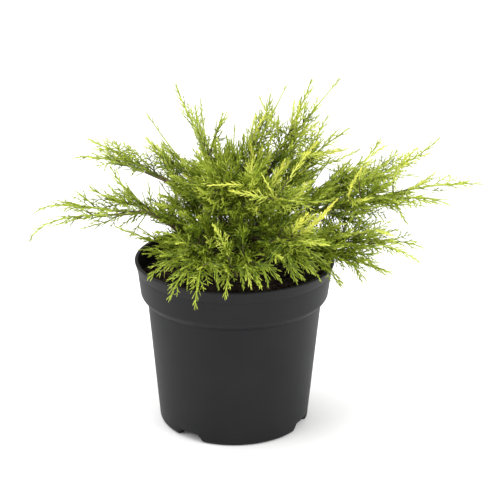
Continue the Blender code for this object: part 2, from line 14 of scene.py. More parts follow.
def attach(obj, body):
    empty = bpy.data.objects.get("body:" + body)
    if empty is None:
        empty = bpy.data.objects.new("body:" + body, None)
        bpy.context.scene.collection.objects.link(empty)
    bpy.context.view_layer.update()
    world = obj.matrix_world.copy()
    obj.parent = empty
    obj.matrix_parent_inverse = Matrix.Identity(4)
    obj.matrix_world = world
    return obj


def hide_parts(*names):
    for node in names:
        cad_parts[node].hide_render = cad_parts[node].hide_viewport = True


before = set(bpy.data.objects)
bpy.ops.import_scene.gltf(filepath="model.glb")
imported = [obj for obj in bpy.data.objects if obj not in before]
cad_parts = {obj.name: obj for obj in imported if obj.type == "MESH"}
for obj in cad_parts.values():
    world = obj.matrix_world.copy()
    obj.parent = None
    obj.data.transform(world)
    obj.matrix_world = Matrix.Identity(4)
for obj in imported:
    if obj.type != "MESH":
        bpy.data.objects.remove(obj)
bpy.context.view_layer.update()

MM = 0.001

# Camera: a long lens about 1.3 m from the pot, looking down by twenty degrees.
# The pot stands a little left of the picture's middle, which the lens shift keeps.
CAMERA_DISTANCE = 1.1944
CAMERA_HEIGHT = 0.6037
CAMERA_PITCH = 19.74
CAMERA_ROLL = 0.28
SENSOR = 36.0
FOCAL_PIXELS = 1300.3
PICTURE_PIXELS = 500
POT_MIDDLE_PIXEL = 234.7

camera_data = bpy.data.cameras.new("camera")
camera_data.sensor_width = SENSOR
camera_data.lens = FOCAL_PIXELS * SENSOR / PICTURE_PIXELS
camera_data.shift_x = (PICTURE_PIXELS / 2 - POT_MIDDLE_PIXEL) / PICTURE_PIXELS
camera_data.clip_start = 0.05
camera = bpy.data.objects.new("camera", camera_data)
bpy.context.collection.objects.link(camera)
tilt = Matrix.Rotation(math.radians(90 - CAMERA_PITCH), 4, "X")
roll = Matrix.Rotation(math.radians(CAMERA_ROLL), 4, "Z")
camera.matrix_world = Matrix.Translation((0, -CAMERA_DISTANCE, CAMERA_HEIGHT)) @ tilt @ roll
bpy.context.scene.camera = camera
EYE = np.array((0.0, -CAMERA_DISTANCE, CAMERA_HEIGHT))
VIEW = np.array((tilt @ roll).to_3x3())


def sight(column, row):
    """The direction in which the camera sees the middle of a pixel of the picture."""
    across = column + 0.5 - POT_MIDDLE_PIXEL
    up = PICTURE_PIXELS / 2 - row - 0.5
    return VIEW @ (across, up, -FOCAL_PIXELS)


def seen_at(column, row, behind):
    """The place on a pixel's line of sight that stands so many mm behind the pot's middle."""
    way = sight(column, row)
    return EYE + way * (behind * MM - EYE[1]) / way[1]


# Pot: a 19.5 cm nursery pot, injection-moulded in black plastic, with a rolled lip, a deep
# collar that steps in over a rounded shoulder, a tapering body, and a foot ring that four
# drain notches cut through. It stands on the foot ring and on the pad under its middle.
POT_HEIGHT = 168 * MM
RIM_RADIUS = 97.6 * MM
LIP_WIDTH = 3.5 * MM
LIP_HEIGHT = 2.4 * MM
LIP_DROP = 11.5 * MM            # down to where the lip's flare ends in the collar
COLLAR_TOP_RADIUS = 94.7 * MM
COLLAR_FOOT_RADIUS = 92.3 * MM
COLLAR_HEIGHT = 32.5 * MM
SHOULDER_DROP = 9.5 * MM
BODY_TOP_RADIUS = 85.6 * MM
BASE_RADIUS = 74.9 * MM
CORNER_RADIUS = 4 * MM
WALL = 2.0 * MM
FOOT_WIDTH = 9 * MM
FLOOR_RAISE = 7 * MM
PAD_RADIUS = 20 * MM
NOTCH_HEADINGS = (234.0, 334.5, 64.0, 144.0)
NOTCH_HEIGHT = 6.5 * MM
NOTCH_WIDTH = 31 * MM
NOTCH_SLANT = 5 * MM
NOTCH_FADE = 14 * MM          # height over which the wall above a notch takes up its lift
POT_SEGMENTS = 180
COLLAR_FOOT = POT_HEIGHT - COLLAR_HEIGHT
BODY_TOP = COLLAR_FOOT - SHOULDER_DROP


def build_mesh(name, points, faces, smooth=True):
    """A mesh from an array of points and an array of equal-sized faces, written in bulk."""
    corners = faces.shape[1]
    mesh = bpy.data.meshes.new(name)
    mesh.vertices.add(len(points))
    mesh.vertices.foreach_set("co", np.ascontiguousarray(points, dtype=np.float32).ravel())
    mesh.loops.add(faces.size)
    mesh.loops.foreach_set("vertex_index", np.ascontiguousarray(faces, dtype=np.int32).ravel())
    mesh.polygons.add(len(faces))
    mesh.polygons.foreach_set("loop_start", np.arange(0, faces.size, corners, dtype=np.int32))
    mesh.polygons.foreach_set("use_smooth", np.full(len(faces), smooth))
    mesh.update(calc_edges=True)
    mesh.validate()
    return mesh


def add_piece(name, mesh, material, replaced):
    """An object at the origin with its material, riding on the one body of the plant."""
    piece = bpy.data.objects.new(name, mesh)
    bpy.context.collection.objects.link(piece)
    mesh.materials.append(material)
    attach(piece, "root")
    if replaced:
        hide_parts(*replaced)
    return piece


def arc(centre, radius, start, end, count):
    """Points at equal angles on a circle in the profile plane, from start to end degrees."""
    angle = np.radians(np.linspace(start, end, count))
    return np.stack([centre[0] + radius * np.cos(angle), centre[1] + radius * np.sin(angle)], 1)


def shoulder_curve(start, end, count):
    """A rounding between two profile points: radius follows a quarter cosine, height is even."""
    share = np.linspace(0, 1, count)
    ease = 1 - np.cos(0.5 * math.pi * share)
    radius = start[0] + ease * (end[0] - start[0])
    height = start[1] + share * (end[1] - start[1])
    return np.stack([radius, height], 1)


def straight(start, end, count):
    """Evenly spaced profile points on a line, without its end point."""
    share = np.linspace(0, 1, count, endpoint=False)[:, None]
    return np.array(start) + share * (np.array(end) - np.array(start))


def pot_profile():
    """Radius and height pairs from inside, below the peat, over the lip to the pad."""
    soil_line = POT_HEIGHT - 30 * MM
    inner_top = (RIM_RADIUS - LIP_WIDTH, POT_HEIGHT - 1.5 * LIP_HEIGHT)
    inside = straight((COLLAR_FOOT_RADIUS - WALL, soil_line), inner_top, 8)
    round_off = LIP_HEIGHT / 2
    lip = [arc((RIM_RADIUS - LIP_WIDTH + round_off, POT_HEIGHT - round_off), round_off, 180, 90, 6),
           arc((RIM_RADIUS - round_off, POT_HEIGHT - round_off), round_off, 90, -20, 8),
           arc((COLLAR_TOP_RADIUS + 3 * MM, POT_HEIGHT - LIP_DROP), 3 * MM, 155, 180, 4)]
    collar = straight((COLLAR_TOP_RADIUS, POT_HEIGHT - LIP_DROP - MM),
                      (COLLAR_FOOT_RADIUS, COLLAR_FOOT), 16)
    shoulder = shoulder_curve((COLLAR_FOOT_RADIUS, COLLAR_FOOT), (BODY_TOP_RADIUS, BODY_TOP), 14)
    body = straight((BODY_TOP_RADIUS, BODY_TOP), (BASE_RADIUS, CORNER_RADIUS), 46)[1:]
    corner = arc((BASE_RADIUS - CORNER_RADIUS, CORNER_RADIUS), CORNER_RADIUS, 0, -90, 7)
    foot_inside = BASE_RADIUS - FOOT_WIDTH
    under = np.array([(foot_inside, 0), (foot_inside - MM, FLOOR_RAISE),
                      (PAD_RADIUS + MM, FLOOR_RAISE), (PAD_RADIUS, 0), (PAD_RADIUS / 2, 0)])
    return np.vstack([inside, *lip, collar, shoulder, body, corner, under])


def notch_lift(angle):
    """How far the foot is lifted at each angle: flat-topped notches with slanted ends."""
    lift = np.zeros_like(angle)
    for heading in NOTCH_HEADINGS:
        away = np.abs((np.degrees(angle) - heading + 180) % 360 - 180)
        across = np.radians(away) * BASE_RADIUS
        lift = np.maximum(lift, np.clip((NOTCH_WIDTH / 2 - across) / NOTCH_SLANT, 0, 1))
    return lift * NOTCH_HEIGHT


def ring_angles():
    """Even steps round the pot, with a step at each corner of each notch."""
    corners = []
    for heading in NOTCH_HEADINGS:
        for half in (NOTCH_WIDTH / 2, NOTCH_WIDTH / 2 - NOTCH_SLANT):
            turn = math.degrees(half / BASE_RADIUS)
            corners += [heading - turn, heading + turn]
    even = np.linspace(0, 360, POT_SEGMENTS, endpoint=False)
    corners = np.array(corners) % 360
    near = np.abs(even[:, None] - corners[None]).min(axis=1) < 0.6
    return np.radians(np.sort(np.concatenate([even[~near], corners])))


def revolve(profile, angle, lift):
    """Profile turned about Z; heights under NOTCH_FADE are squeezed upwards by the lift."""
    radius, height = profile[:, 0][:, None], profile[:, 1][:, None]
    room = np.clip(1 - height / NOTCH_FADE, 0, 1)
    ring = radius > PAD_RADIUS + 2 * MM
    raised = height + np.where(ring, lift[None] * room, 0)
    return np.stack([radius * np.cos(angle), radius * np.sin(angle), raised], -1)


def grid_faces(rows, columns, offset=0):
    """Quads of a grid whose columns close into a ring, rows running down the outside."""
    row = np.arange(rows - 1)[:, None] * columns
    column = np.arange(columns)[None]
    after = (column + 1) % columns
    faces = np.stack([row + column, row + columns + column, row + columns + after, row + after], -1)
    return faces.reshape(-1, 4) + offset


def mottle_group():
    """Noise on Object coordinates as a mask, and two colours mixed as it runs from Low to High."""
    group = bpy.data.node_groups.new("mottle", "ShaderNodeTree")
    for label, kind in (("Scale", "Float"), ("Detail", "Float"), ("Low", "Float"),
                        ("High", "Float"), ("Dark", "Color"), ("Pale", "Color")):
        group.interface.new_socket(label, in_out="INPUT", socket_type="NodeSocket" + kind)
    group.interface.new_socket("Color", in_out="OUTPUT", socket_type="NodeSocketColor")
    group.interface.new_socket("Mask", in_out="OUTPUT", socket_type="NodeSocketFloat")
    nodes, links = group.nodes, group.links
    given, result = nodes.new("NodeGroupInput"), nodes.new("NodeGroupOutput")
    place, noise = nodes.new("ShaderNodeTexCoord"), nodes.new("ShaderNodeTexNoise")
    share, blend = nodes.new("ShaderNodeMapRange"), nodes.new("ShaderNodeMixRGB")
    links.new(place.outputs["Object"], noise.inputs["Vector"])
    links.new(given.outputs["Scale"], noise.inputs["Scale"])
    links.new(given.outputs["Detail"], noise.inputs["Detail"])
    links.new(noise.outputs["Fac"], share.inputs["Value"])
    links.new(given.outputs["Low"], share.inputs["From Min"])
    links.new(given.outputs["High"], share.inputs["From Max"])
    links.new(share.outputs["Result"], blend.inputs["Fac"])
    links.new(given.outputs["Dark"], blend.inputs["Color1"])
    links.new(given.outputs["Pale"], blend.inputs["Color2"])
    links.new(blend.outputs["Color"], result.inputs["Color"])
    links.new(noise.outputs["Fac"], result.inputs["Mask"])
    return group


MOTTLE = mottle_group()


def mottled(name, scale, detail, span, colours, roughness, specular=0.5, relief=None):
    """A finish in two colours that mix over a span of the noise, which may also raise the surface.

    The relief is the strength and the depth of the bump.
    """
    material = bpy.data.materials.new(name)
    material.use_nodes = True
    nodes, links = material.node_tree.nodes, material.node_tree.links
    shader = nodes["Principled BSDF"]
    shader.inputs["Roughness"].default_value = roughness
    shader.inputs["Specular IOR Level"].default_value = specular
    mottle = nodes.new("ShaderNodeGroup")
    mottle.name = "mottle"
    mottle.node_tree = MOTTLE
    values = (("Scale", scale), ("Detail", detail), ("Low", span[0]), ("High", span[1]),
              ("Dark", (*colours[0], 1)), ("Pale", (*colours[1], 1)))
    for label, value in values:
        mottle.inputs[label].default_value = value
    links.new(mottle.outputs["Color"], shader.inputs["Base Color"])
    if relief:
        bump = nodes.new("ShaderNodeBump")
        bump.inputs["Strength"].default_value, bump.inputs["Distance"].default_value = relief
        links.new(mottle.outputs["Mask"], bump.inputs["Height"])
        links.new(bump.outputs["Normal"], shader.inputs["Normal"])
    return material


def moulded_plastic(name):
    """Black plastic: slightly paler scuffs and dust in patches, duller there, with a fine grain."""
    material = mottled(name, 22.0, 6.0, (0.30, 0.78),
                       ((0.005, 0.005, 0.006), (0.010, 0.010, 0.011)), 0.5, specular=0.20)
    nodes, links = material.node_tree.nodes, material.node_tree.links
    shader = nodes["Principled BSDF"]
    gloss = nodes.new("ShaderNodeMapRange")
    gloss.inputs["To Min"].default_value = 0.44
    gloss.inputs["To Max"].default_value = 0.62
    place = nodes.new("ShaderNodeTexCoord")
    grain = nodes.new("ShaderNodeTexNoise")
    grain.inputs["Scale"].default_value = 1400.0
    grain.inputs["Detail"].default_value = 3.0
    bump = nodes.new("ShaderNodeBump")
    bump.inputs["Strength"].default_value = 0.12
    bump.inputs["Distance"].default_value = 0.0004
    links.new(nodes["mottle"].outputs["Mask"], gloss.inputs["Value"])
    links.new(gloss.outputs["Result"], shader.inputs["Roughness"])
    links.new(place.outputs["Object"], grain.inputs["Vector"])
    links.new(grain.outputs["Fac"], bump.inputs["Height"])
    links.new(bump.outputs["Normal"], shader.inputs["Normal"])
    return material


pot_points = pot_profile()
angles = ring_angles()
pot_grid = revolve(pot_points, angles, notch_lift(angles))
pot_rings, pot_columns = pot_grid.shape[:2]
pot_quads = grid_faces(pot_rings, pot_columns)
middles = np.array([[0.0, 0.0, 0.0], [0.0, 0.0, pot_points[0, 1]]])
pot_vertices = np.vstack([pot_grid.reshape(-1, 3), middles])
last_ring = (pot_rings - 1) * pot_columns + np.arange(pot_columns)
next_ring = (pot_rings - 1) * pot_columns + (np.arange(pot_columns) + 1) % pot_columns
pad_fan = np.stack([last_ring, np.full(pot_columns, len(pot_vertices) - 2), next_ring], 1)
pot_column = np.arange(pot_columns)
bed_fan = np.stack([np.full(pot_columns, len(pot_vertices) - 1), pot_column,
                    (pot_column + 1) % pot_columns], 1)
pot_triangles = np.vstack([pot_quads[:, [0, 1, 2]], pot_quads[:, [0, 2, 3]], pad_fan, bed_fan])
pot_mesh = build_mesh("pot_shell", pot_vertices, pot_triangles)
pot_mesh.set_sharp_from_angle(angle=math.radians(22))
add_piece("pot_shell", pot_mesh, moulded_plastic("black_plastic"), ["pot"])


# Peat: dark moist compost that fills the pot to 18 mm under the rim, lumpy, with crumbs on top.
# It lies in the pot, heaped a little against the stem, near-black brown and rough all over.
SOIL_TOP = POT_HEIGHT - 18 * MM
SOIL_RADIUS = 91.5 * MM
SOIL_RINGS, SOIL_SPOKES = 40, 120
CRUMB_COUNT = 900


def lumps(x, y, scale, seed):
    """Smooth unevenness from a sum of sine waves in turned directions."""
    total = np.zeros_like(x)
    for wave in range(5):
        turn = seed + 2.4 * wave
        pitch = scale * (1.0 + 0.55 * wave)
        total += np.sin(pitch * (x * np.cos(turn) + y * np.sin(turn)) + 1.7 * wave) / (1 + wave)
    return total / 2.3


soil_share = np.linspace(0.02, 1, SOIL_RINGS)[:, None]
soil_angle = np.linspace(0, 2 * math.pi, SOIL_SPOKES, endpoint=False)[None]
soil_x = SOIL_RADIUS * soil_share * np.cos(soil_angle)
soil_y = SOIL_RADIUS * soil_share * np.sin(soil_angle)
soil_z = SOIL_TOP - MM + 1.3 * MM * lumps(soil_x, soil_y, 130, 0.4)
soil_z += 0.7 * MM * lumps(soil_x, soil_y, 420, 2.0) + 2 * MM * np.exp(-(soil_share / 0.25) ** 2)
soil_grid = np.stack([soil_x, soil_y, soil_z], -1)
soil_under = soil_grid[-1] * np.array([0.985, 0.985, 1.0]) - np.array([0, 0, 11 * MM])
soil_ends = np.array([[0, 0, soil_z[0].mean()], [0, 0, soil_under[:, 2].mean()]])
soil_vertices = np.vstack([soil_grid.reshape(-1, 3), soil_under, soil_ends])
soil_rows = SOIL_RINGS + 1
soil_quads = grid_faces(soil_rows, SOIL_SPOKES)
spoke = np.arange(SOIL_SPOKES)
next_spoke = (spoke + 1) % SOIL_SPOKES
top_fan = np.stack([np.full(SOIL_SPOKES, len(soil_vertices) - 2), spoke, next_spoke], 1)
low = (soil_rows - 1) * SOIL_SPOKES
low_fan = np.stack([np.full(SOIL_SPOKES, len(soil_vertices) - 1), low + next_spoke, low + spoke], 1)
soil_triangles = np.vstack([soil_quads[:, [0, 1, 2]], soil_quads[:, [0, 2, 3]], top_fan, low_fan])
peat_finish = mottled("peat", 260.0, 8.0, (0.35, 0.72), ((0.006, 0.004, 0.003), (0.050, 0.030, 0.018)),
                      0.95, specular=0.2, relief=(0.8, 1.5 * MM))
soil_mesh = build_mesh("peat_bed", soil_vertices, soil_triangles)
add_piece("peat_bed", soil_mesh, peat_finish, ["soil"])

CUBE_CORNERS = np.array([(x, y, z) for x in (-1, 1) for y in (-1, 1) for z in (-1, 1)], float)
CUBE_FACES = np.array([(0, 1, 3, 2), (4, 6, 7, 5), (0, 4, 5, 1), (2, 3, 7, 6), (0, 2, 6, 4),
                       (1, 5, 7, 3)])
chance = np.random.default_rng(11)
crumb_reach = SOIL_RADIUS * np.sqrt(chance.uniform(0.03, 0.93, CRUMB_COUNT))
crumb_turn = chance.uniform(0, 2 * math.pi, CRUMB_COUNT)
crumb_x, crumb_y = crumb_reach * np.cos(crumb_turn), crumb_reach * np.sin(crumb_turn)
crumb_z = SOIL_TOP - MM + 1.3 * MM * lumps(crumb_x, crumb_y, 130, 0.4)
crumb_size = chance.uniform(0.5, 1.9, CRUMB_COUNT) * MM
crumb_middle = np.stack([crumb_x, crumb_y, crumb_z + 0.4 * crumb_size], 1)
crumb_shape = CUBE_CORNERS[None] * chance.uniform(0.5, 1.0, (CRUMB_COUNT, 8, 3))
crumb_vertices = (crumb_middle[:, None] + crumb_shape * crumb_size[:, None, None]).reshape(-1, 3)
crumb_faces = (CUBE_FACES[None] + 8 * np.arange(CRUMB_COUNT)[:, None, None]).reshape(-1, 4)
crumb_mesh = build_mesh("peat_crumbs", crumb_vertices, crumb_faces, smooth=False)
add_piece("peat_crumbs", crumb_mesh, peat_finish, [])


# Stem and boughs: a short stem that flares at the peat, and seventeen boughs that leave it
# in whorls and arch outwards. Grey-brown bark, furrowed along each limb, grown in one piece.
STEM_FLARE_RADIUS = 10 * MM
STEM_RADIUS = 7.2 * MM
STEM_TOP_RADIUS = 6.6 * MM
STEM_TOP = 206 * MM
STEM_LEAN = 3 * MM
WHORL_HEIGHTS = (159 * MM, 169 * MM, 179 * MM, 189 * MM, 198 * MM)
STEM_TIP = len(WHORL_HEIGHTS)
BOUGH_BASE_RADIUS = 3.0 * MM
BOUGH_TIP_RADIUS = 2.5 * MM
BOUGH_COLLAR = 2.5 * MM
LEADER_OFFSET = 3.7 * MM
FIRST_LEADER = 30.0
BARK_SHARE = 0.74                  # of a bough's thickness in the part, which is drawn stout
HANDLE = 0.34                      # of a curve's length, for how far its ends run on straight
GAP = 0.3 * MM
LIMB_SIDES = 14
BOUGH_ROWS = 36

# Bough: name, whorl, fork (heading, reach, height in mm).
# Foliage: heading, reach and height of its tip in mm, lean of its end, longest side shoot.
CROWN = (
    ("left_under", 0, (199, 41, 179), ((189, 117, 206, 0.2, 22), (208, 98, 187, 0.0, 26))),
    ("front", 0, (268, 36, 186), ((266, 121, 171, -0.8, 30), (282, 118, 179, -0.6, 28))),
    ("right_low", 0, (346, 51, 187),
     ((352, 183, 187, -0.4, 48), (342, 158, 169, -0.1, 40), (331, 117, 159, -0.3, 34))),
    ("back_low", 0, (86, 42, 190),
     ((59, 172, 204, -0.2, 56), (87, 176, 199, -0.3, 56), (115, 173, 202, -0.2, 56))),
    ("left_low", 1, (187, 95, 217), ((189, 198, 192, -2.4, 18), (180, 194, 212, -0.7, 24))),
    ("front_left", 1, (238, 39, 196),
     ((228, 119, 177, -0.6, 32), (243, 130, 167, -0.7, 32), (254, 129, 163, -0.7, 30))),
    ("right_front", 1, (303, 39, 198), ((307, 138, 222, -0.1, 38), (308, 117, 185, -0.5, 36))),
    ("right_far", 1, (0, 74, 215), ((0, 239, 243, -0.25, 44), (354, 205, 229, -0.5, 46))),
    ("left_mid", 2, (175, 81, 211), ((167, 125, 252, 0.9, 24), (180, 140, 239, 0.4, 34))),
    ("right_high", 2, (15, 60, 215),
     ((28, 167, 269, 0.9, 42), (16, 212, 275, 0.6, 44), (7, 183, 243, -0.5, 38))),
    ("left_high", 3, (161, 71, 239), ((160, 174, 250, -0.45, 32), (149, 176, 262, -0.1, 38))),
    ("right_up", 3, (31, 43, 224), ((22, 122, 287, -0.2, 36), (46, 136, 287, 0.3, 38))),
    ("back_left", 4, (139, 43, 230), ((135, 128, 290, 0.1, 26), (147, 105, 273, 0.3, 38))),
    ("top_right", 4, (40, 39, 240), ((28, 84, 338, 0.3, 36), (32, 123, 333, -0.15, 30))),
    ("top_left", 5, (142, 32, 261),
     ((134, 85, 326, 0.3, 28), (113, 90, 307, 0.9, 14), (102, 43, 301, -0.2, 30))),
    ("top_mid", 5, (58, 20, 249), ((55, 61, 320, 0.3, 30), (54, 87, 324, -0.1, 30))),
    ("front_up", 5, (262, 16, 226),
     ((220, 47, 284, 0.4, 36), (292, 65, 280, 0.3, 38), (314, 131, 258, 0.2, 34))),
)


def polar(heading, reach, height):
    """The point at a heading, a distance from the pot's middle and a height."""
    angle = math.radians(heading)
    return np.array((reach * math.cos(angle), reach * math.sin(angle), height))


def unit(vectors):
    """Vectors scaled to length one."""
    return vectors / np.linalg.norm(vectors, axis=-1, keepdims=True)


def bezier(start, first, second, end, count):
    """Points at even steps of a cubic Bezier curve."""
    t = np.linspace(0, 1, count)[:, None]
    return ((1 - t) ** 3 * start + 3 * (1 - t) ** 2 * t * first
            + 3 * (1 - t) * t ** 2 * second + t ** 3 * end)


def stem_axis(height):
    """Middle of the stem: upright out of the peat, leaning a little, upright at its top."""
    share = (height - SOIL_TOP) / (STEM_TOP - SOIL_TOP)
    return np.array((STEM_LEAN * min(max(share, 0.1), 0.95), 0.0, height))


def stem_radius(height):
    """Taper of the stem, with the root flare as a square law over its lowest part."""
    share = (height - SOIL_TOP) / (STEM_TOP - SOIL_TOP)
    flare = max(0.0, 1.0 - share / 0.14)
    body = STEM_RADIUS + share * (STEM_TOP_RADIUS - STEM_RADIUS)
    return body + flare ** 2 * (STEM_FLARE_RADIUS - STEM_RADIUS)


def bough_path(whorl, fork, tips, leader_heading, rows):
    """Straight out of the stem, then a Bezier bend towards the foliage the bough carries."""
    heading, reach, height = fork
    end = polar(heading, reach * MM, height * MM)
    outward = polar(heading, 1.0, 0.0)
    onward = unit(np.mean(tips, axis=0) - end)
    if whorl == STEM_TIP:
        start = stem_axis(STEM_TOP + GAP) + polar(leader_heading, LEADER_OFFSET, 0.0)
        leave = np.array((0.0, 0.0, 1.0))
    else:
        level = WHORL_HEIGHTS[whorl]
        start = stem_axis(level) + outward * (stem_radius(level) + GAP)
        leave = outward
    bend = start + leave * BOUGH_COLLAR
    length = np.linalg.norm(end - bend)
    curve = bezier(bend, bend + leave * HANDLE * length, end - onward * HANDLE * length, end,
                   rows - 1)
    return np.vstack([start, curve])


def frames(path):
    """Tangents and two cross directions along a path, the first kept level."""
    along = unit(np.gradient(path, axis=0))
    side = np.cross(along, (0.0, 0.0, 1.0))
    level = np.linalg.norm(side, axis=1, keepdims=True)
    side = np.where(level > 0.05, side / np.maximum(level, 1e-9), np.array([[0.0, -1.0, 0.0]]))
    side = unit(side - (side * along).sum(1, keepdims=True) * along)
    return along, side, np.cross(side, along)


def bark_tube(path, radii, sides, seed):
    """A ring of points round each path point, its radius modulated by furrows and scales."""
    along, side, up = frames(path)
    turn = np.linspace(0, 2 * math.pi, sides, endpoint=False)[None, :, None]
    row = np.arange(len(path))[:, None, None]
    furrow = 0.10 * np.sin(3 * turn + 0.35 * row + seed) + 0.07 * np.sin(7 * turn - 0.21 * row)
    ring = 0.05 * np.sin(1.9 * row + 2.0 * np.sin(turn + seed))
    size = radii[:, None, None] * (1 + furrow + ring)
    points = path[:, None] + size * (np.cos(turn) * side[:, None] - np.sin(turn) * up[:, None])
    rows = len(path)
    quads = grid_faces(rows, sides)[:, ::-1]
    ends = np.vstack([path[:1], path[-1:]])
    vertices = np.vstack([points.reshape(-1, 3), ends])
    column = np.arange(sides)
    after = (column + 1) % sides
    low_cap = np.stack([np.full(sides, rows * sides), after, column], 1)
    top = (rows - 1) * sides
    top_cap = np.stack([np.full(sides, rows * sides + 1), top + column, top + after], 1)
    return vertices, np.vstack([quads[:, [0, 1, 2]], quads[:, [0, 2, 3]], low_cap, top_cap])


def bark(name, dark, pale):
    """Fibrous bark in two browns, with a strong fine relief."""
    return mottled(name, 420.0, 6.0, (0.32, 0.70), (dark, pale), 0.86, relief=(0.6, 0.6 * MM))


def join(parts):
    """Several vertex and face arrays as one pair, faces renumbered."""
    offsets = np.cumsum([0] + [len(vertices) for vertices, _ in parts[:-1]])
    vertices = np.vstack([vertices for vertices, _ in parts])
    return vertices, np.vstack([faces + offset for (_, faces), offset in zip(parts, offsets)])


stem_heights = np.linspace(SOIL_TOP - 2 * MM, STEM_TOP, 40)
stem_path = np.array([stem_axis(h) for h in stem_heights])
stem_radii = np.array([stem_radius(max(h, SOIL_TOP)) for h in stem_heights])
limb_parts = [bark_tube(stem_path, stem_radii, 28, 0.6)]
leaders = sorted(fork[0] for _, whorl, fork, _ in CROWN if whorl == STEM_TIP)
leader_headings = {heading: FIRST_LEADER + 360.0 * rank / len(leaders)
                   for rank, heading in enumerate(leaders)}
bough_paths = {}
for number, (name, whorl, fork, plumes) in enumerate(CROWN):
    tips = [polar(h, r * MM, z * MM) for h, r, z, _, _ in plumes]
    path = bough_path(whorl, fork, tips, leader_headings.get(fork[0]), BOUGH_ROWS)
    bough_paths[name] = path
    radii = BARK_SHARE * np.linspace(BOUGH_BASE_RADIUS, BOUGH_TIP_RADIUS, len(path))
    limb_parts.append(bark_tube(path, radii, LIMB_SIDES, number))
limb_nodes = ["stem"] + ["bough_" + name for name, _, _, _ in CROWN]
limb_mesh = build_mesh("bark_limbs", *join(limb_parts))
limb_bark = bark("bark", (0.040, 0.022, 0.012), (0.200, 0.125, 0.070))
add_piece("bark_limbs", limb_mesh, limb_bark, limb_nodes)


# Foliage: each mass grows from a bough's tip as one arching shoot, with branches at the golden
# angle, and bright young whips rise from the nearest wood. All carry side shoots, these
# twiglets and barbs, and the green wood is clad in short pointed leaves in crossed pairs.
TWIG_BASE_RADIUS = 1.25 * MM
TWIG_TIP_RADIUS = 0.4 * MM
GREEN_FROM = 0.25                 # share of a foliage stem from which its wood is still green
PAIR_OFFSET = 1.45 * MM
TRIO_OFFSET = 1.75 * MM
ROOT_TURNS = 24
AXIS_SAMPLES = 91
STEM_HANDLE = 0.30
SHOOT_SPACING = 3.8 * MM
FIRST_SHOOT = 0.03
LAST_SHOOT = 0.95
SHOOT_BEND = 0.16
FORWARD_START = 47.0
FORWARD_END = 30.0
FORWARD_RANGE = 14.0
ROLL_RANGE = 25.0
GOLDEN_ANGLE = 137.5
CROSS_FLATTEN = 0.6
FAN_FLATTEN = 0.3                  # of the young sprays that show their flat side
FIRST_TWIGLET = 0.10
LAST_TWIGLET = 0.80
TWIGLET_SPACING = 2.9 * MM
TWIGLET_SHARE = 0.42
TWIGLET_SHORTEST = 3.4 * MM
TWIGLET_ANGLE = 47.0               # at the foot of a side shoot, less this much at its tip
TWIGLET_CLOSING = 12.0
TWIGLET_LIFT = 40.0
BARB_SPACING = 3.6 * MM
BARB_LENGTH = 4.2 * MM
BARB_ANGLE = 40.0
BRANCHES = 5
SLENDER_BRANCHES = 3              # on the boughs whose plumes show slim against the sky
SLENDER_BOUGHS = ("left_low", "left_mid", "left_high", "back_left", "top_left", "top_mid",
                  "top_right")
SLENDER_SHOOTS = 1.12
SHOOT_GAIN = 1.08
PLUME_SPREAD = 0.88               # of the angle between a stem and its side shoots
BRANCH_FIRST = 0.10
BRANCH_LAST = 0.58
BRANCH_ANGLE = 36.0
BRANCH_RISE = 0.15
BRANCH_SHARE = 0.50
BRANCH_SHOOTS = 0.55
BRANCH_SPACING = 4.4 * MM
BRANCH_RADIUS = 0.75 * MM
BOUGH_BRANCHES = 6
BOUGH_BRANCH_LENGTH = 68 * MM
BOUGH_BRANCH_SHOOTS = 27 * MM
BOUGH_BRANCH_ANGLE = 52.0
BOUGH_BRANCH_FIRST = 0.35
BOUGH_BRANCH_RISE = 0.6
BOUGH_SHOOTS_FROM = 0.25          # share of a bough from which it carries side shoots itself
BOUGH_SHOOTS = 30 * MM
SHOOT_RADIUS = 0.50 * MM
CORE_RADIUS = 0.62 * MM
PAIR_SPACING_INSIDE = 5.6 * MM
PAIR_SPACING_OUTSIDE = 3.3 * MM
LEAF_INSIDE = 2.4 * MM
LEAF_OUTSIDE = 2.0 * MM
LEAF_WIDTH = 0.8 * MM
LEAF_KEEL = 0.4 * MM
LEAF_SPREAD = 15.0
CLEAR_ABOVE = 2.5 * MM            # between the foliage and the pot and peat
CLEAR_INSIDE = 9 * MM
PIECE_LIMIT = 190000
LEAF_MOTTLE = 0.25

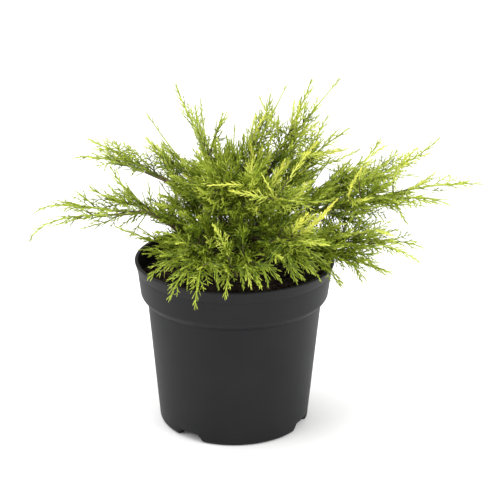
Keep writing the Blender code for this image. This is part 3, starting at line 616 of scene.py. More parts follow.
# Young whips that show in the photo, each read off it. Foot and tip: column and row in the
# picture, and how far behind the pot's middle it stands, in mm. Then its longest side shoot in
# mm, and its shade from 0, the darkest green, to 1, gold.
WHIPS = (
    ((293, 228, -85), (308, 212, -105), 9, 0.76),
    ((296, 226, -84), (316, 213, -100), 9, 0.74),
    ((245, 183, -50), (206, 185, -70), 8, 0.73),
    ((282, 212, -60), (261, 173, -72), 10, 0.62),
    ((275, 180, -30), (285, 158, -40), 11, 0.74),
    ((254, 166, -10), (250, 143, -20), 10, 0.74),
    ((343, 196, -50), (362, 166, -50), 7, 0.72),
    ((262, 197, -75), (228, 190, -85), 10, 0.66),
    ((298, 162, -20), (318, 140, -25), 8, 0.68),
    ((303, 160, -12), (341, 147, -16), 9, 0.60),
    ((226, 246, -88), (212, 223, -104), 14, 0.60),
    ((347, 203, -50), (373, 197, -55), 8, 0.64),
    ((316, 156, -10), (348, 148, -16), 10, 0.68),
    ((298, 140, 10), (319, 120, 6), 11, 0.60),
    ((352, 164, -10), (388, 144, -10), 12, 0.60),
    ((390, 172, 0), (418, 146, 4), 13, 0.60),
    ((418, 187, -20), (435, 172, -22), 8, 0.62),
    ((310, 232, -95), (338, 197, -108), 10, 0.84),
    ((306, 232, -95), (333, 202, -108), 10, 0.74),
    ((300, 240, -100), (329, 245, -118), 11, 0.60),
    ((246, 150, 10), (255, 113, 12), 11, 0.60),
    ((274, 128, 30), (258, 95, 34), 9, 0.62),
    ((291, 130, 10), (294, 99, 12), 9, 0.62),
    ((296, 128, 10), (299, 100, 12), 9, 0.62),
    ((165, 168, 40), (146, 136, 50), 13, 0.60),
    ((172, 170, 30), (156, 143, 36), 13, 0.62),
    ((303, 200, -70), (304, 182, -76), 8, 0.62),
    ((250, 138, 10), (266, 112, 10), 8, 0.70),
    ((365, 224, -46), (394, 236, -46), 8, 0.60),
    ((300, 230, 30), (294, 200, 30), 12, 0.30),
    ((268, 234, 20), (262, 204, 20), 12, 0.26),
    ((303, 196, 30), (331, 156, 30), 14, 0.44),
    ((298, 190, 50), (311, 152, 50), 12, 0.38),
    ((316, 196, 20), (338, 171, 20), 11, 0.44),
    ((322, 260, -20), (343, 284, -20), 12, 0.42),
    ((345, 256, -20), (367, 281, -20), 12, 0.42),
    ((362, 256, -20), (386, 275, -20), 12, 0.44),
    ((322, 238, 0), (352, 214, 0), 13, 0.36),
    ((262, 256, -100), (268, 287, -100), 12, 0.34),
    ((285, 256, -90), (297, 284, -90), 12, 0.36),
    ((303, 256, -80), (321, 281, -80), 11, 0.34),
    ((240, 258, -100), (243, 289, -100), 12, 0.32),
    ((215, 256, -105), (218, 290, -105), 12, 0.34),
    ((146, 214, 5), (129, 237, 5), 10, 0.36),
    ((139, 213, 0), (119, 226, 0), 10, 0.40),
    ((152, 222, 10), (141, 190, 10), 11, 0.42),
    ((152, 214, 10), (147, 177, 10), 11, 0.48),
    ((160, 213, 0), (159, 184, 0), 10, 0.48),
    ((126, 206, 0), (107, 183, 0), 11, 0.54),
    ((130, 206, 0), (121, 183, 0), 10, 0.54),
    ((322, 168, 40), (361, 148, 40), 12, 0.54),
    ((330, 176, 30), (352, 158, 30), 11, 0.50),
    ((390, 243, -40), (420, 262, -40), 12, 0.58),
    ((368, 234, 10), (399, 229, 10), 11, 0.54),
    ((391, 199, 20), (408, 225, 20), 11, 0.46),
    ((352, 262, -20), (362, 283, -20), 10, 0.46),
    ((266, 260, -95), (281, 282, -95), 12, 0.36),
    ((286, 260, -88), (304, 280, -88), 12, 0.36),
    ((298, 258, -78), (316, 274, -78), 12, 0.38),
    ((268, 248, -85), (290, 268, -85), 13, 0.36),
    ((250, 262, -100), (258, 285, -100), 11, 0.34),
    ((310, 248, -60), (329, 266, -60), 12, 0.42),
    ((276, 244, -90), (266, 270, -90), 12, 0.34),
    ((244, 260, -105), (251, 289, -105), 12, 0.54),
    ((318, 240, 30), (314, 210, 30), 13, 0.36),
    ((327, 238, 20), (329, 207, 20), 13, 0.40),
    ((306, 236, 20), (306, 207, 20), 12, 0.34),
    ((228, 238, 10), (231, 208, 10), 12, 0.30),
    ((208, 236, 20), (204, 206, 20), 12, 0.32),
    ((252, 238, 10), (254, 209, 10), 12, 0.30),
    ((216, 234, 30), (211, 208, 30), 12, 0.30),
    ((333, 246, -30), (340, 216, -30), 15, 0.38),
    ((322, 238, -20), (327, 211, -20), 15, 0.34),
    ((343, 246, -30), (352, 212, -30), 15, 0.40),
    ((318, 232, -10), (334, 214, -10), 14, 0.32),
    ((338, 240, -5), (328, 216, -5), 14, 0.32),
    ((352, 244, -20), (362, 216, -20), 13, 0.42),
    ((326, 228, 10), (316, 206, 10), 12, 0.30),
    ((344, 240, 5), (344, 216, 5), 13, 0.34),
    ((222, 238, 5), (222, 210, 5), 14, 0.30),
    ((216, 236, 0), (213, 208, 0), 14, 0.28),
    ((196, 236, 10), (193, 207, 10), 13, 0.30),
    ((190, 222, 10), (184, 200, 10), 12, 0.32),
    ((252, 236, -10), (251, 208, -10), 12, 0.30),
)
WHIP_SPACING = 2.8 * MM
WHIP_GAIN = 1.2                    # on its longest side shoot

# More of them fill the crown's dome on a golden-angle spiral. The dome reaches less far to the
# left than to the right, and falls from its top to its edge.
DOME_WHIPS = 210
DOME_RIGHT = 150 * MM
DOME_LEFT = 92 * MM
DOME_DEPTH = 108 * MM
DOME_TOP = 286 * MM
DOME_EDGE = 196 * MM
DOME_LENGTH = 26 * MM
DOME_STRAY = 16 * MM
DOME_SHOOTS = 15 * MM
WHIP_SPREAD = 0.85                # of the angle between a stem and its side shoots

# Dark shoots that fill the heart of the crown, their dark green partly the older inside and partly
# painted shade: count, longest side shoot, and for each in turn a step of reach and of height.
HEART_SHOOTS = 56
HEART_LONGEST = 24 * MM
HEART_SAG = 12 * MM
HEART_REACH = (34 * MM, 50 * MM, 64 * MM, 76 * MM)
HEART_HEIGHT = (204 * MM, 216 * MM, 232 * MM, 248 * MM, 192 * MM)

# Lines of sight along which the photo shows the ground through the crown: the column and row
# where each meets the picture, and the radius of the gap in mm.
SKY_GAPS = (
    (325, 175, 5), (320, 180, 4), (411, 180, 6), (124, 172, 6), (228, 128, 4), (206, 128, 3),
    (158, 188, 4), (427, 190, 4), (138, 176, 5), (147, 181, 5), (135, 184, 7), (142, 192, 5),
    (172, 118, 9), (178, 130, 6), (184, 140, 5), (212, 108, 8), (211, 122, 5), (222, 98, 8),
    (237, 115, 7), (245, 108, 8), (283, 98, 6), (288, 110, 4), (333, 100, 8), (325, 92, 6),
    (146, 226, 4), (160, 227, 4), (140, 220, 3), (390, 215, 5), (384, 210, 3), (336, 266, 4),
    (166, 136, 6), (152, 128, 5), (176, 146, 5), (350, 138, 5), (356, 158, 4), (366, 158, 3),
)

# The shade of a spray runs from 0, deep inside the crown, to 1 at its yellow tips. It rises
# along its stem, where the young growth is paler, and strays by chance. It rises away from the
# crown's heart, partly for the older green inside and partly as painted shade in the heart, and
# it rises with height as painted light from above.
PLUME_SHADE = 0.14
# Bough and heart shoots start darker than plumes: partly the older green inside, partly painted shade.
BOUGH_SHADE = 0.06
HEART_SHADE = 0.12
WHIP_FOOT_SHADE = 0.30             # less than at its tip
DOME_SHADE = 0.32
ALONG_SHADE = 0.26
OUTWARD_GROWTH_AND_PAINTED_LIGHT = 0.04
UPWARD_PAINTED_LIGHT = 0.10
STRAY_SHADE = 0.24
TWIGLET_SHADE = 0.22
BARB_SHADE = 0.05
LEAF_SHADE = 0.10
STEM_SHADES = (0.18, 0.34)
# Where the rise away from the heart begins and over what depth it grows, and where the painted light
# from above begins and over what rise it grows.
SHADE_INNER = 60 * MM
SHADE_DEPTH = 130 * MM
PAINTED_LIGHT_LOW = 185 * MM
PAINTED_LIGHT_RISE = 90 * MM
TINTS = (
    ("deep_green", (0.056, 0.096, 0.005)),
    ("inner_green", (0.122, 0.180, 0.009)),
    ("leaf_green", (0.230, 0.306, 0.018)),
    ("fresh_green", (0.384, 0.462, 0.046)),
    ("lime", (0.560, 0.622, 0.096)),
    ("yellow_green", (0.715, 0.742, 0.128)),
    ("gold", (0.800, 0.752, 0.096)),
)


def root_offsets(fork, onward, tips):
    """Places side by side on a bough's tip, of all turns and orders those facing their tips."""
    pulls = [tip - fork - np.dot(tip - fork, onward) * onward for tip in tips]
    middle = np.mean(pulls, axis=0)
    across = unit(pulls[0] - middle)
    upward = np.cross(onward, across)
    circle = PAIR_OFFSET if len(tips) == 2 else TRIO_OFFSET
    best, best_score = None, -math.inf
    for turn_step in range(ROOT_TURNS):
        first = 2 * math.pi * turn_step / ROOT_TURNS
        for order in itertools.permutations(range(len(tips))):
            turned = [first + 2 * math.pi * rank / len(tips) for rank in order]
            places = [circle * (math.cos(a) * across + math.sin(a) * upward) for a in turned]
            score = sum(np.dot(place, pull - middle) for place, pull in zip(places, pulls))
            if score > best_score:
                best, best_score = places, score
    return best


def foliage_axis(start, onward, tip, lean, count):
    """A foliage stem from its bough's tip, bending to the tip of the plume."""
    length = np.linalg.norm(tip - start)
    ending = unit(unit(tip - start) + lean * np.array((0.0, 0.0, 1.0)))
    return bezier(start, start + onward * STEM_HANDLE * length, tip - ending * HANDLE * length, tip,
                  count)


def jitter(seed, shoot, channel):
    """A repeatable number from 0 to 1 for one property of each shoot."""
    value = np.sin(seed * 12.9898 + shoot * 78.233 + channel * 37.719) * 43758.5453
    return value - np.floor(value)


def shoot_length(share):
    """Side shoots are longest a third of the way along and short near the tip."""
    rising = 0.62 + 0.38 * np.sin(0.5 * np.pi * np.clip(share / 0.35, 0, 1))
    falling = 1.0 - 0.72 * np.clip((share - 0.35) / (0.86 - 0.35), 0, 1.1) ** 1.1
    return np.where(share < 0.35, rising, falling)


def cross_frame(along, facing=None):
    """Two directions square to each given direction: level and up, or across and facing."""
    helper = np.where(np.abs(along[..., 2:3]) > 0.9, [1.0, 0, 0], [0, 0, 1.0])
    helper = helper if facing is None else facing
    side = unit(np.cross(along, helper))
    return side, np.cross(side, along)


def leaving(along, roll, rise, angle, facing=None):
    """Directions at an angle to a stem, rolled round it, flattened sideways and lifted."""
    side, up = cross_frame(along, facing)
    flatten = CROSS_FLATTEN if facing is None else FAN_FLATTEN
    across = np.cos(roll) * side + flatten * np.sin(roll) * up + (0.0, 0.0, rise)
    across = unit(across - (across * along).sum(1, keepdims=True) * along)
    return np.cos(angle) * along + np.sin(angle) * across


def side_shoots(axis, longest, seed, spacing, spread, facing):
    """Root, direction, bend, length, share and number of every side shoot of one axis."""
    steps = np.linalg.norm(np.diff(axis, axis=0), axis=1)
    count = max(5, int(steps.sum() / spacing))
    k = np.arange(count)
    share = FIRST_SHOOT + (LAST_SHOOT - FIRST_SHOOT) * (k + 0.5) / count
    where = share * (len(axis) - 1)
    index = where.astype(int)
    part = (where - index)[:, None]
    root = axis[index] + part * (axis[index + 1] - axis[index])
    along = unit(axis[index + 1] - axis[index])
    roll = np.radians(GOLDEN_ANGLE * k + ROLL_RANGE * (jitter(seed, k, 1) - 0.5))[:, None]
    forward = FORWARD_START + share * (FORWARD_END - FORWARD_START)
    forward = spread * np.radians(forward + FORWARD_RANGE * (jitter(seed, k, 2) - 0.5))[:, None]
    direction = leaving(along, roll, 0.0, forward, facing)
    bend = unit(along - (along * direction).sum(1, keepdims=True) * direction)
    length = longest * shoot_length(share) * (0.55 + 0.5 * jitter(seed, k, 3))
    return root, direction, bend, length, share, k


def shoot_point(root, direction, bend, length, place):
    """Point at a share of a side shoot: straight on, and bending forward by a square law."""
    place = np.asarray(place)[..., None]
    return root + length[:, None] * (place * direction + SHOOT_BEND * place ** 2 * bend)


def spread_out(length, spacing, least):
    """How many children each parent has at this spacing, with each child's owner and rank."""
    count = np.maximum(least, (length / spacing).astype(int))
    owner = np.repeat(np.arange(len(length)), count)
    rank = np.arange(len(owner)) - (np.cumsum(count) - count)[owner]
    return count, owner, rank


def twiglets(root, direction, bend, length, seed):
    """Twiglets along each side shoot: foot, direction, length, owner and place along it."""
    count, owner, rank = spread_out(length * (LAST_TWIGLET - FIRST_TWIGLET), TWIGLET_SPACING, 1)
    place = FIRST_TWIGLET + (LAST_TWIGLET - FIRST_TWIGLET) * (rank + 0.5) / count[owner]
    foot = shoot_point(root[owner], direction[owner], bend[owner], length[owner], place)
    along = unit(direction[owner] + 2 * SHOOT_BEND * place[:, None] * bend[owner])
    flat = unit(bend[owner] - (bend[owner] * along).sum(1, keepdims=True) * along)
    normal = np.cross(along, flat)
    hand = np.where(rank % 2 == 0, 1.0, -1.0)[:, None]
    number = np.arange(len(rank))
    lift = np.radians(TWIGLET_LIFT * (jitter(seed, number, 4) - 0.5))[:, None]
    across = hand * np.cos(lift) * flat + np.sin(lift) * normal
    angle = TWIGLET_ANGLE - TWIGLET_CLOSING * place + 10 * (jitter(seed, number, 5) - 0.5)
    angle = np.radians(angle)[:, None]
    heading = unit(np.cos(angle) * along + np.sin(angle) * across)
    reach = TWIGLET_SHARE * length[owner] * shoot_length(place)
    reach = reach * (0.75 + 0.5 * jitter(seed, number, 6))
    kept = reach > TWIGLET_SHORTEST
    return foot[kept], heading[kept], reach[kept], owner[kept], place[kept]


def barbs(foot, heading, length, seed):
    """Short barbs on the longer twiglets, leaning forward, each on its own side."""
    kept = np.flatnonzero(length > 2.0 * BARB_SPACING)
    count, owner, rank = spread_out(length[kept] - BARB_SPACING, BARB_SPACING, 1)
    owner = kept[owner]
    place = (rank + 0.7) * BARB_SPACING / length[owner]
    turn = np.radians(180.0 * rank + 50.0 * jitter(seed, np.arange(len(rank)), 10))[:, None]
    direction = leaving(heading[owner], turn, 0.0, math.radians(BARB_ANGLE))
    size = BARB_LENGTH * (1.15 - 0.5 * place) * (0.8 + 0.4 * jitter(seed, rank + 0.5 * owner, 11))
    return foot[owner] + heading[owner] * (place * length[owner])[:, None], direction, size, owner


def in_sky_gap(points):
    """True where a point is nearer than the radius to one of the open lines of sight."""
    inside = np.zeros(points.shape[:-1], bool)
    for column, row, radius in SKY_GAPS:
        way = unit(sight(column, row))
        inside |= np.linalg.norm(np.cross(points - EYE, way), axis=-1) < radius * MM
    return inside


def in_the_open(points):
    """True where a point is outside the pot's wall, above the peat and in no gap to the sky."""
    reach = np.hypot(points[..., 0], points[..., 1])
    height = points[..., 2]
    in_wall = (height < POT_HEIGHT + CLEAR_ABOVE) & (reach > RIM_RADIUS - CLEAR_INSIDE)
    in_peat = height < SOIL_TOP + CLEAR_ABOVE
    in_pot = (reach < RIM_RADIUS + CLEAR_ABOVE) & (in_wall | in_peat)
    return ~in_pot & ~in_sky_gap(points)


def tubes(paths, radii, sides):
    """Tapered tubes, one for each path, as rows of points and the faces that each row has."""
    along = unit(np.gradient(paths, axis=1))
    side, up = cross_frame(along)
    turn = np.linspace(0, 2 * math.pi, sides, endpoint=False)[:, None]
    ring = np.cos(turn) * side[:, :, None] + np.sin(turn) * up[:, :, None]
    points = paths[:, :, None] + radii[..., None, None] * ring
    rows = paths.shape[1]
    quads = grid_faces(rows, sides)
    corner = np.arange(1, sides - 1)
    foot = np.stack([np.zeros(sides - 2, int), corner, corner + 1], 1)
    tip = (rows - 1) * sides + foot[:, ::-1]
    faces = np.vstack([quads[:, [0, 1, 2]], quads[:, [0, 2, 3]], foot, tip])
    return points.reshape(len(paths), -1, 3), faces


def spines(start, direction, length, width, keel, outward):
    """Slim points: two corners at the foot, a keel outside and a tip, as rows and faces."""
    side = np.cross(direction, outward) * width / 2
    tip = start + direction * length[:, None]
    points = np.stack([start - side, start + side, start + outward * keel, tip], 1)
    return points, np.array([(0, 1, 2), (0, 3, 1), (1, 3, 2), (2, 3, 0)])


def clad(start, direction, length, shade, seed):
    """Crossed pairs of leaves along straight twigs: foot, direction, size, outside, shade.

    The brighter a twig, the closer and shorter its leaves. Each leaf's shade strays a little
    from its twig's, and rises towards the twig's tip.
    """
    spacing = PAIR_SPACING_INSIDE + shade * (PAIR_SPACING_OUTSIDE - PAIR_SPACING_INSIDE)
    count, owner, rank = spread_out(length, spacing / 2, 2)
    pair, member = rank // 2, rank % 2
    place = (rank + 0.3) / count[owner]
    along = direction[owner]
    side, up = cross_frame(along)
    turn = np.pi * member + 0.5 * np.pi * (pair % 2) + 2 * np.pi * jitter(seed, owner, 7)
    across = np.cos(turn)[:, None] * side + np.sin(turn)[:, None] * up
    spread = np.radians(LEAF_SPREAD * (1.2 - 0.5 * place))[:, None]
    heading = np.cos(spread) * along + np.sin(spread) * across
    outside = np.cos(spread) * across - np.sin(spread) * along
    foot = start[owner] + along * (place * length[owner])[:, None]
    size = LEAF_INSIDE + shade[owner] * (LEAF_OUTSIDE - LEAF_INSIDE)
    size = size * (1.1 - 0.3 * place) * (0.85 + 0.3 * jitter(seed, rank + owner, 8))
    stray = jitter(seed, rank + 0.37 * owner, 16) - 0.45
    leaf_shade = shade[owner] + LEAF_SHADE * place + STRAY_SHADE * stray
    return foot, heading, size, outside, leaf_shade


def leaf_finish(name, colour):
    """Waxy scale leaves of one tint, mottled slightly paler and darker along the sprays."""
    dark = [(1 - LEAF_MOTTLE) * c for c in colour]
    pale = [min(1.0, (1 + LEAF_MOTTLE) * c) for c in colour]
    return mottled(name, 90.0, 3.0, (0.30, 0.70), (dark, pale), 0.45, specular=0.28)


CROWN_HEART = stem_axis(SOIL_TOP + 50 * MM)
shoots = []
twigs = []
stems = []


def straight_bits(path, shade):
    """The straight stretches of a path as twigs: foot, direction, length and shade."""
    span = np.diff(path, axis=0)
    size = np.linalg.norm(span, axis=1)
    return path[:-1], span / size[:, None], size, shade


def grow(axis, longest, seed, spacing, base_shade, spread=1.0, facing=None):
    """Adds the side shoots, twiglets and barbs of one axis to the lists."""
    root, direction, bend, length, share, number = side_shoots(
        axis, longest, seed, spacing, spread, facing)
    clear = in_the_open(root)
    for place in (0.5, 1.0):
        clear &= in_the_open(shoot_point(root, direction, bend, length, place))
    root, direction, bend, length = root[clear], direction[clear], bend[clear], length[clear]
    share, number = share[clear], number[clear]
    tip = root + direction * length[:, None]
    # Paler away from the heart, partly the older green inside and partly painted shade in the heart;
    # paler with height as painted light from above.
    outside = (np.linalg.norm(tip - CROWN_HEART, axis=1) - SHADE_INNER) / SHADE_DEPTH
    above = (tip[:, 2] - PAINTED_LIGHT_LOW) / PAINTED_LIGHT_RISE
    shade = base_shade + ALONG_SHADE * share + OUTWARD_GROWTH_AND_PAINTED_LIGHT * np.clip(outside, 0, 1)
    shade = shade + UPWARD_PAINTED_LIGHT * np.clip(above, 0, 1) + STRAY_SHADE * (jitter(seed, number, 9) - 0.5)
    shoots.append((root, direction, bend, length, shade))
    foot, heading, size, owner, place = twiglets(root, direction, bend, length, seed)
    stray = jitter(seed, np.arange(len(owner)), 17) - 0.5
    twiglet_shade = shade[owner] + TWIGLET_SHADE * place + STRAY_SHADE * stray
    twigs.append((foot, heading, size, twiglet_shade))
    barb_foot, barb_heading, barb_size, barb_owner = barbs(foot, heading, size, seed)
    twigs.append((barb_foot, barb_heading, barb_size, twiglet_shade[barb_owner] + BARB_SHADE))
    for step in range(4):
        low = shoot_point(root, direction, bend, length, step / 4)
        high = shoot_point(root, direction, bend, length, (step + 1) / 4)
        span = high - low
        size = np.linalg.norm(span, axis=1)
        twigs.append((low, span / size[:, None], size, shade + BARB_SHADE * step))


def add_stem(axis, radius, base_shade):
    """Adds one axis as a stem, with leaves on its green end, a little brighter to the tip."""
    knots = axis[::3]
    knots = knots[int(GREEN_FROM * len(knots)) - 2:]
    twigs.append(straight_bits(knots, base_shade + np.linspace(*STEM_SHADES, len(knots) - 1)))
    stems.append((axis, radius, base_shade + STEM_SHADES[1]))


def branch_axes(axis, count, first, last, angle, lengths, rise, seed):
    """Branches that leave an axis at the golden angle and bend forward to run on beside it."""
    k = np.arange(count)
    share = first + (last - first) * (k + jitter(seed, k, 12)) / count
    index = (share * (len(axis) - 2)).astype(int)
    along = unit(axis[index + 1] - axis[index])
    roll = np.radians(GOLDEN_ANGLE * k + 360.0 * jitter(seed, 0, 13))[:, None]
    turn = np.radians(angle + 12.0 * (jitter(seed, k, 14) - 0.5))[:, None]
    leave = leaving(along, roll, rise, turn)
    onward = unit(leave + 0.55 * along + (0.0, 0.0, 0.10))
    reach = (lengths(share) * (0.8 + 0.35 * jitter(seed, k, 15)))[:, None]
    middle = axis[index] + 0.4 * reach * leave
    ends = middle + 0.6 * reach * onward
    return [bezier(*knots, AXIS_SAMPLES) for knots in zip(axis[index], middle, middle, ends)]


def add_branches(branches, longest, seed, base_shade):
    """A stem with its shoots for each branch that stays clear of the pot."""
    for rank, branch in enumerate(branches):
        if in_the_open(branch).all():
            grow(branch, longest, seed + 0.1 * rank, BRANCH_SPACING, base_shade)
            add_stem(branch, BRANCH_RADIUS, base_shade)


def facing(seed):
    """The way that a young spray turns its flat side: to the front and a little up."""
    return polar(270.0 + 90.0 * (jitter(seed, 0, 19) - 0.5), 1.0, 0.45)


def dome_whip(rank):
    """Foot and tip of a whip on the dome: the tips stand on a golden-angle spiral, as high as the
    square of their share of the reach takes off, and point from upright to outward."""
    turn = math.radians(GOLDEN_ANGLE * rank)
    share = math.sqrt((rank + 0.5) / DOME_WHIPS)
    across = DOME_RIGHT if math.cos(turn) > 0 else DOME_LEFT
    outward = np.array((math.cos(turn) * across, math.sin(turn) * DOME_DEPTH, 0.0))
    height = DOME_TOP - share ** 2 * (DOME_TOP - DOME_EDGE)
    stray = DOME_STRAY * np.array([jitter(rank, axis, 18) - 0.5 for axis in range(3)])
    tip = share * outward + (0.0, 0.0, height) + stray
    return tip - DOME_LENGTH * unit(1.3 * share * unit(outward) + (0.0, 0.0, 1.2 - share)), tip


def whip_axis(foot, tip):
    """A whip from the nearest wood through its foot to its tip."""
    start = wood[np.linalg.norm(wood - foot, axis=1).argmin()]
    return bezier(start, foot, 0.6 * foot + 0.4 * tip, tip, AXIS_SAMPLES)


mass_nodes = []
wood = []
seed = 0
for name, whorl, fork, plumes in CROWN:
    path = bough_paths[name]
    wood.append(path)
    onward = unit(path[-1] - path[-2])
    tips = [polar(h, r * MM, z * MM) for h, r, z, _, _ in plumes]
    offsets = root_offsets(path[-1], onward, tips)
    slender = name in SLENDER_BOUGHS
    for letter, tip, offset, plume in zip("abc", tips, offsets, plumes):
        axis = foliage_axis(path[-1] + onward * GAP + offset, onward, tip, plume[3], AXIS_SAMPLES)
        mass_nodes.append("foliage_%s_%s" % (name, letter))
        wood.append(axis[:AXIS_SAMPLES // 2])
        longest = plume[4] * MM * (SLENDER_SHOOTS if slender else SHOOT_GAIN)
        grow(axis, longest, seed, SHOOT_SPACING, PLUME_SHADE, PLUME_SPREAD)
        add_stem(axis, TWIG_BASE_RADIUS, PLUME_SHADE)
        whole = BRANCH_SHARE * np.linalg.norm(np.diff(axis, axis=0), axis=1).sum()
        branches = branch_axes(axis, SLENDER_BRANCHES if slender else BRANCHES, BRANCH_FIRST,
                               BRANCH_LAST, BRANCH_ANGLE, lambda share: whole * (1 - share),
                               BRANCH_RISE, seed)
        add_branches(branches, BRANCH_SHOOTS * longest, 50 + seed, PLUME_SHADE)
        seed += 1
    branches = branch_axes(path, BOUGH_BRANCHES, BOUGH_BRANCH_FIRST, 1.0, BOUGH_BRANCH_ANGLE,
                           lambda share: BOUGH_BRANCH_LENGTH * (1.25 - 0.75 * share),
                           BOUGH_BRANCH_RISE, 200 + seed)
    # The bough's own branches and shoots are darker, partly painted shade inside the crown.
    add_branches(branches, BOUGH_BRANCH_SHOOTS, 200 + seed, BOUGH_SHADE)
    grow(path[int(BOUGH_SHOOTS_FROM * len(path)):], BOUGH_SHOOTS, 300 + seed, SHOOT_SPACING,
         BOUGH_SHADE)

wood = np.vstack(wood)
for rank in range(HEART_SHOOTS):
    tip = polar(GOLDEN_ANGLE * rank, HEART_REACH[rank % 4], HEART_HEIGHT[rank % 5])
    foot = 0.4 * stem_axis(STEM_TOP) + 0.6 * tip - np.array((0, 0, HEART_SAG))
    start = wood[np.linalg.norm(wood - foot, axis=1).argmin()]
    axis = bezier(start, foot, 0.5 * (foot + tip), tip, AXIS_SAMPLES)
    grow(axis, HEART_LONGEST, 500 + rank, BRANCH_SPACING, HEART_SHADE)
    # The heart stems take the darkest green, partly painted shade inside the crown.
    add_stem(axis, BRANCH_RADIUS, 0.0)
for rank in range(DOME_WHIPS):
    whip = whip_axis(*dome_whip(rank))
    if in_the_open(whip[AXIS_SAMPLES // 2:]).all():
        shade = DOME_SHADE * jitter(rank, 3, 18) ** 1.5
        grow(whip, DOME_SHOOTS, 600 + rank, WHIP_SPACING, shade, WHIP_SPREAD, facing(600 + rank))
        add_stem(whip, BRANCH_RADIUS, shade)
for rank, (foot, tip, longest, shade) in enumerate(WHIPS):
    whip = whip_axis(seen_at(*foot), seen_at(*tip))
    grow(whip, longest * WHIP_GAIN * MM, 400 + rank, WHIP_SPACING, shade - WHIP_FOOT_SHADE,
         WHIP_SPREAD, facing(400 + rank))
    add_stem(whip, BRANCH_RADIUS, shade - WHIP_FOOT_SHADE)

axes = np.stack([axis for axis, _, _ in stems])
foot_radii = np.array([radius for _, radius, _ in stems])
stem_shade = np.array([shade for _, _, shade in stems])
green_row = int(GREEN_FROM * (AXIS_SAMPLES - 1))
taper = TWIG_TIP_RADIUS + (foot_radii[:, None] - TWIG_TIP_RADIUS) * (1 - np.linspace(0, 1, AXIS_SAMPLES))
wood_points, wood_faces = tubes(axes[:, :green_row + 1:3], taper[:, :green_row + 1:3], 6)
wood_faces = wood_faces + wood_points.shape[1] * np.arange(len(wood_points))[:, None, None]
wood_mesh = build_mesh("twig_wood", wood_points.reshape(-1, 3), wood_faces.reshape(-1, 3))
twig_bark = bark("young_bark", (0.050, 0.045, 0.014), (0.150, 0.125, 0.045))
add_piece("twig_wood", wood_mesh, twig_bark, [])

root, direction, bend, length, shoot_shade = (np.concatenate(c) for c in zip(*shoots))
foot, heading, size, twig_shade = (np.concatenate(c) for c in zip(*twigs))
clear = in_the_open(foot) & in_the_open(foot + heading * size[:, None])
foot, heading, size, twig_shade = foot[clear], heading[clear], size[clear], twig_shade[clear]
twig_shade = np.clip(twig_shade, 0, 1)
leaf_foot, leaf_heading, leaf_size, leaf_outside, leaf_shade = clad(foot, heading, size, twig_shade, 3)
shoot_places = np.linspace(0, 1, 5)
shoot_paths = np.stack([shoot_point(root, direction, bend, length, p) for p in shoot_places], 1)
shoot_radii = SHOOT_RADIUS * np.tile(1 - 0.75 * shoot_places, (len(root), 1))
core_side, core_up = cross_frame(heading)
batches = (
    (*spines(leaf_foot, leaf_heading, leaf_size, LEAF_WIDTH, LEAF_KEEL, leaf_outside),
     leaf_shade),
    (*spines(foot - core_up * CORE_RADIUS / 2, heading, size * 1.04, 2 * CORE_RADIUS,
             1.6 * CORE_RADIUS, core_up), twig_shade - 0.06),
    (*tubes(shoot_paths, shoot_radii, 3), shoot_shade),
    (*tubes(axes[:, green_row::3], taper[:, green_row::3], 5), stem_shade),
)


def pick(batch, mask):
    """The masked rows of a batch as points and renumbered triangles."""
    rows, pattern = batch[0][mask], batch[1]
    faces = pattern + rows.shape[1] * np.arange(len(rows))[:, None, None]
    return rows.reshape(-1, 3), faces.reshape(-1, 3)


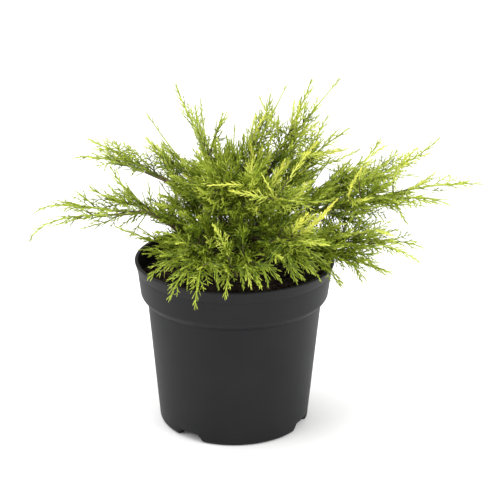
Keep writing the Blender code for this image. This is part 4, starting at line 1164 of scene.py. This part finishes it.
for index, (tint_name, colour) in enumerate(TINTS):
    finish = leaf_finish(tint_name, colour)
    masks = [np.clip((shade * len(TINTS)).astype(int), 0, len(TINTS) - 1) == index
             for _, _, shade in batches]
    total = sum(mask.sum() * len(batch[1]) for mask, batch in zip(masks, batches))
    parts = math.ceil(total / PIECE_LIMIT)
    cuts = np.quantile(batches[0][0][masks[0]][:, 0, 0], np.linspace(0, 1, parts + 1))
    cuts[0], cuts[-1] = -1, 1
    for number in range(parts):
        inside = [mask & (batch[0][:, 0, 0] >= cuts[number]) & (batch[0][:, 0, 0] < cuts[number + 1])
                  for mask, batch in zip(masks, batches)]
        points, faces = join([pick(batch, mask) for mask, batch in zip(inside, batches)])
        mesh = build_mesh("sprays", points, faces, smooth=False)
        piece_name = "sprays_%s_%d" % (tint_name, number + 1)
        add_piece(piece_name, mesh, finish, mass_nodes)


# Studio: a white floor and a soft white room, so the plant stands on a bright plain ground
# with only a faint shadow under the pot.
FLOOR_HALF = 4.0

floor_points = FLOOR_HALF * np.array([(-1, -1, 0), (1, -1, 0), (1, 1, 0), (-1, 1, 0)], float)
floor_mesh = build_mesh("floor", floor_points, np.array([[0, 1, 2, 3]]))
floor = bpy.data.objects.new("floor", floor_mesh)
bpy.context.collection.objects.link(floor)
floor_white = bpy.data.materials.new("floor_white")
floor_white.use_nodes = True
floor_shader = floor_white.node_tree.nodes["Principled BSDF"]
floor_shader.inputs["Base Color"].default_value = (0.93, 0.93, 0.93, 1)
floor_shader.inputs["Roughness"].default_value = 0.9
floor_mesh.materials.append(floor_white)

world = bpy.data.worlds.new("studio")
world.use_nodes = True
world.node_tree.nodes["Background"].inputs["Color"].default_value = (1, 1, 1, 1)
world.node_tree.nodes["Background"].inputs["Strength"].default_value = 0.75
bpy.context.scene.world = world
bpy.context.scene.view_settings.view_transform = "Standard"

for light_name, energy, size, place in (
        ("softbox_left", 15.0, 1.2, (-1.5, -0.9, 1.2)),
        ("softbox_right", 24.0, 1.2, (1.5, -0.8, 1.2))):
    light_data = bpy.data.lights.new(light_name, "AREA")
    light_data.energy = energy
    light_data.size = size
    light = bpy.data.objects.new(light_name, light_data)
    light.location = place
    aim = Vector((0, 0, 0.2)) - light.location
    light.rotation_euler = aim.to_track_quat("-Z", "Y").to_euler()
    bpy.context.collection.objects.link(light)
ceiling_data = bpy.data.lights.new("ceiling", "SUN")
ceiling_data.energy = 2.0
ceiling_data.angle = math.radians(60)
ceiling = bpy.data.objects.new("ceiling", ceiling_data)
ceiling.rotation_euler = (math.radians(-12), math.radians(-14), 0)
bpy.context.collection.objects.link(ceiling)
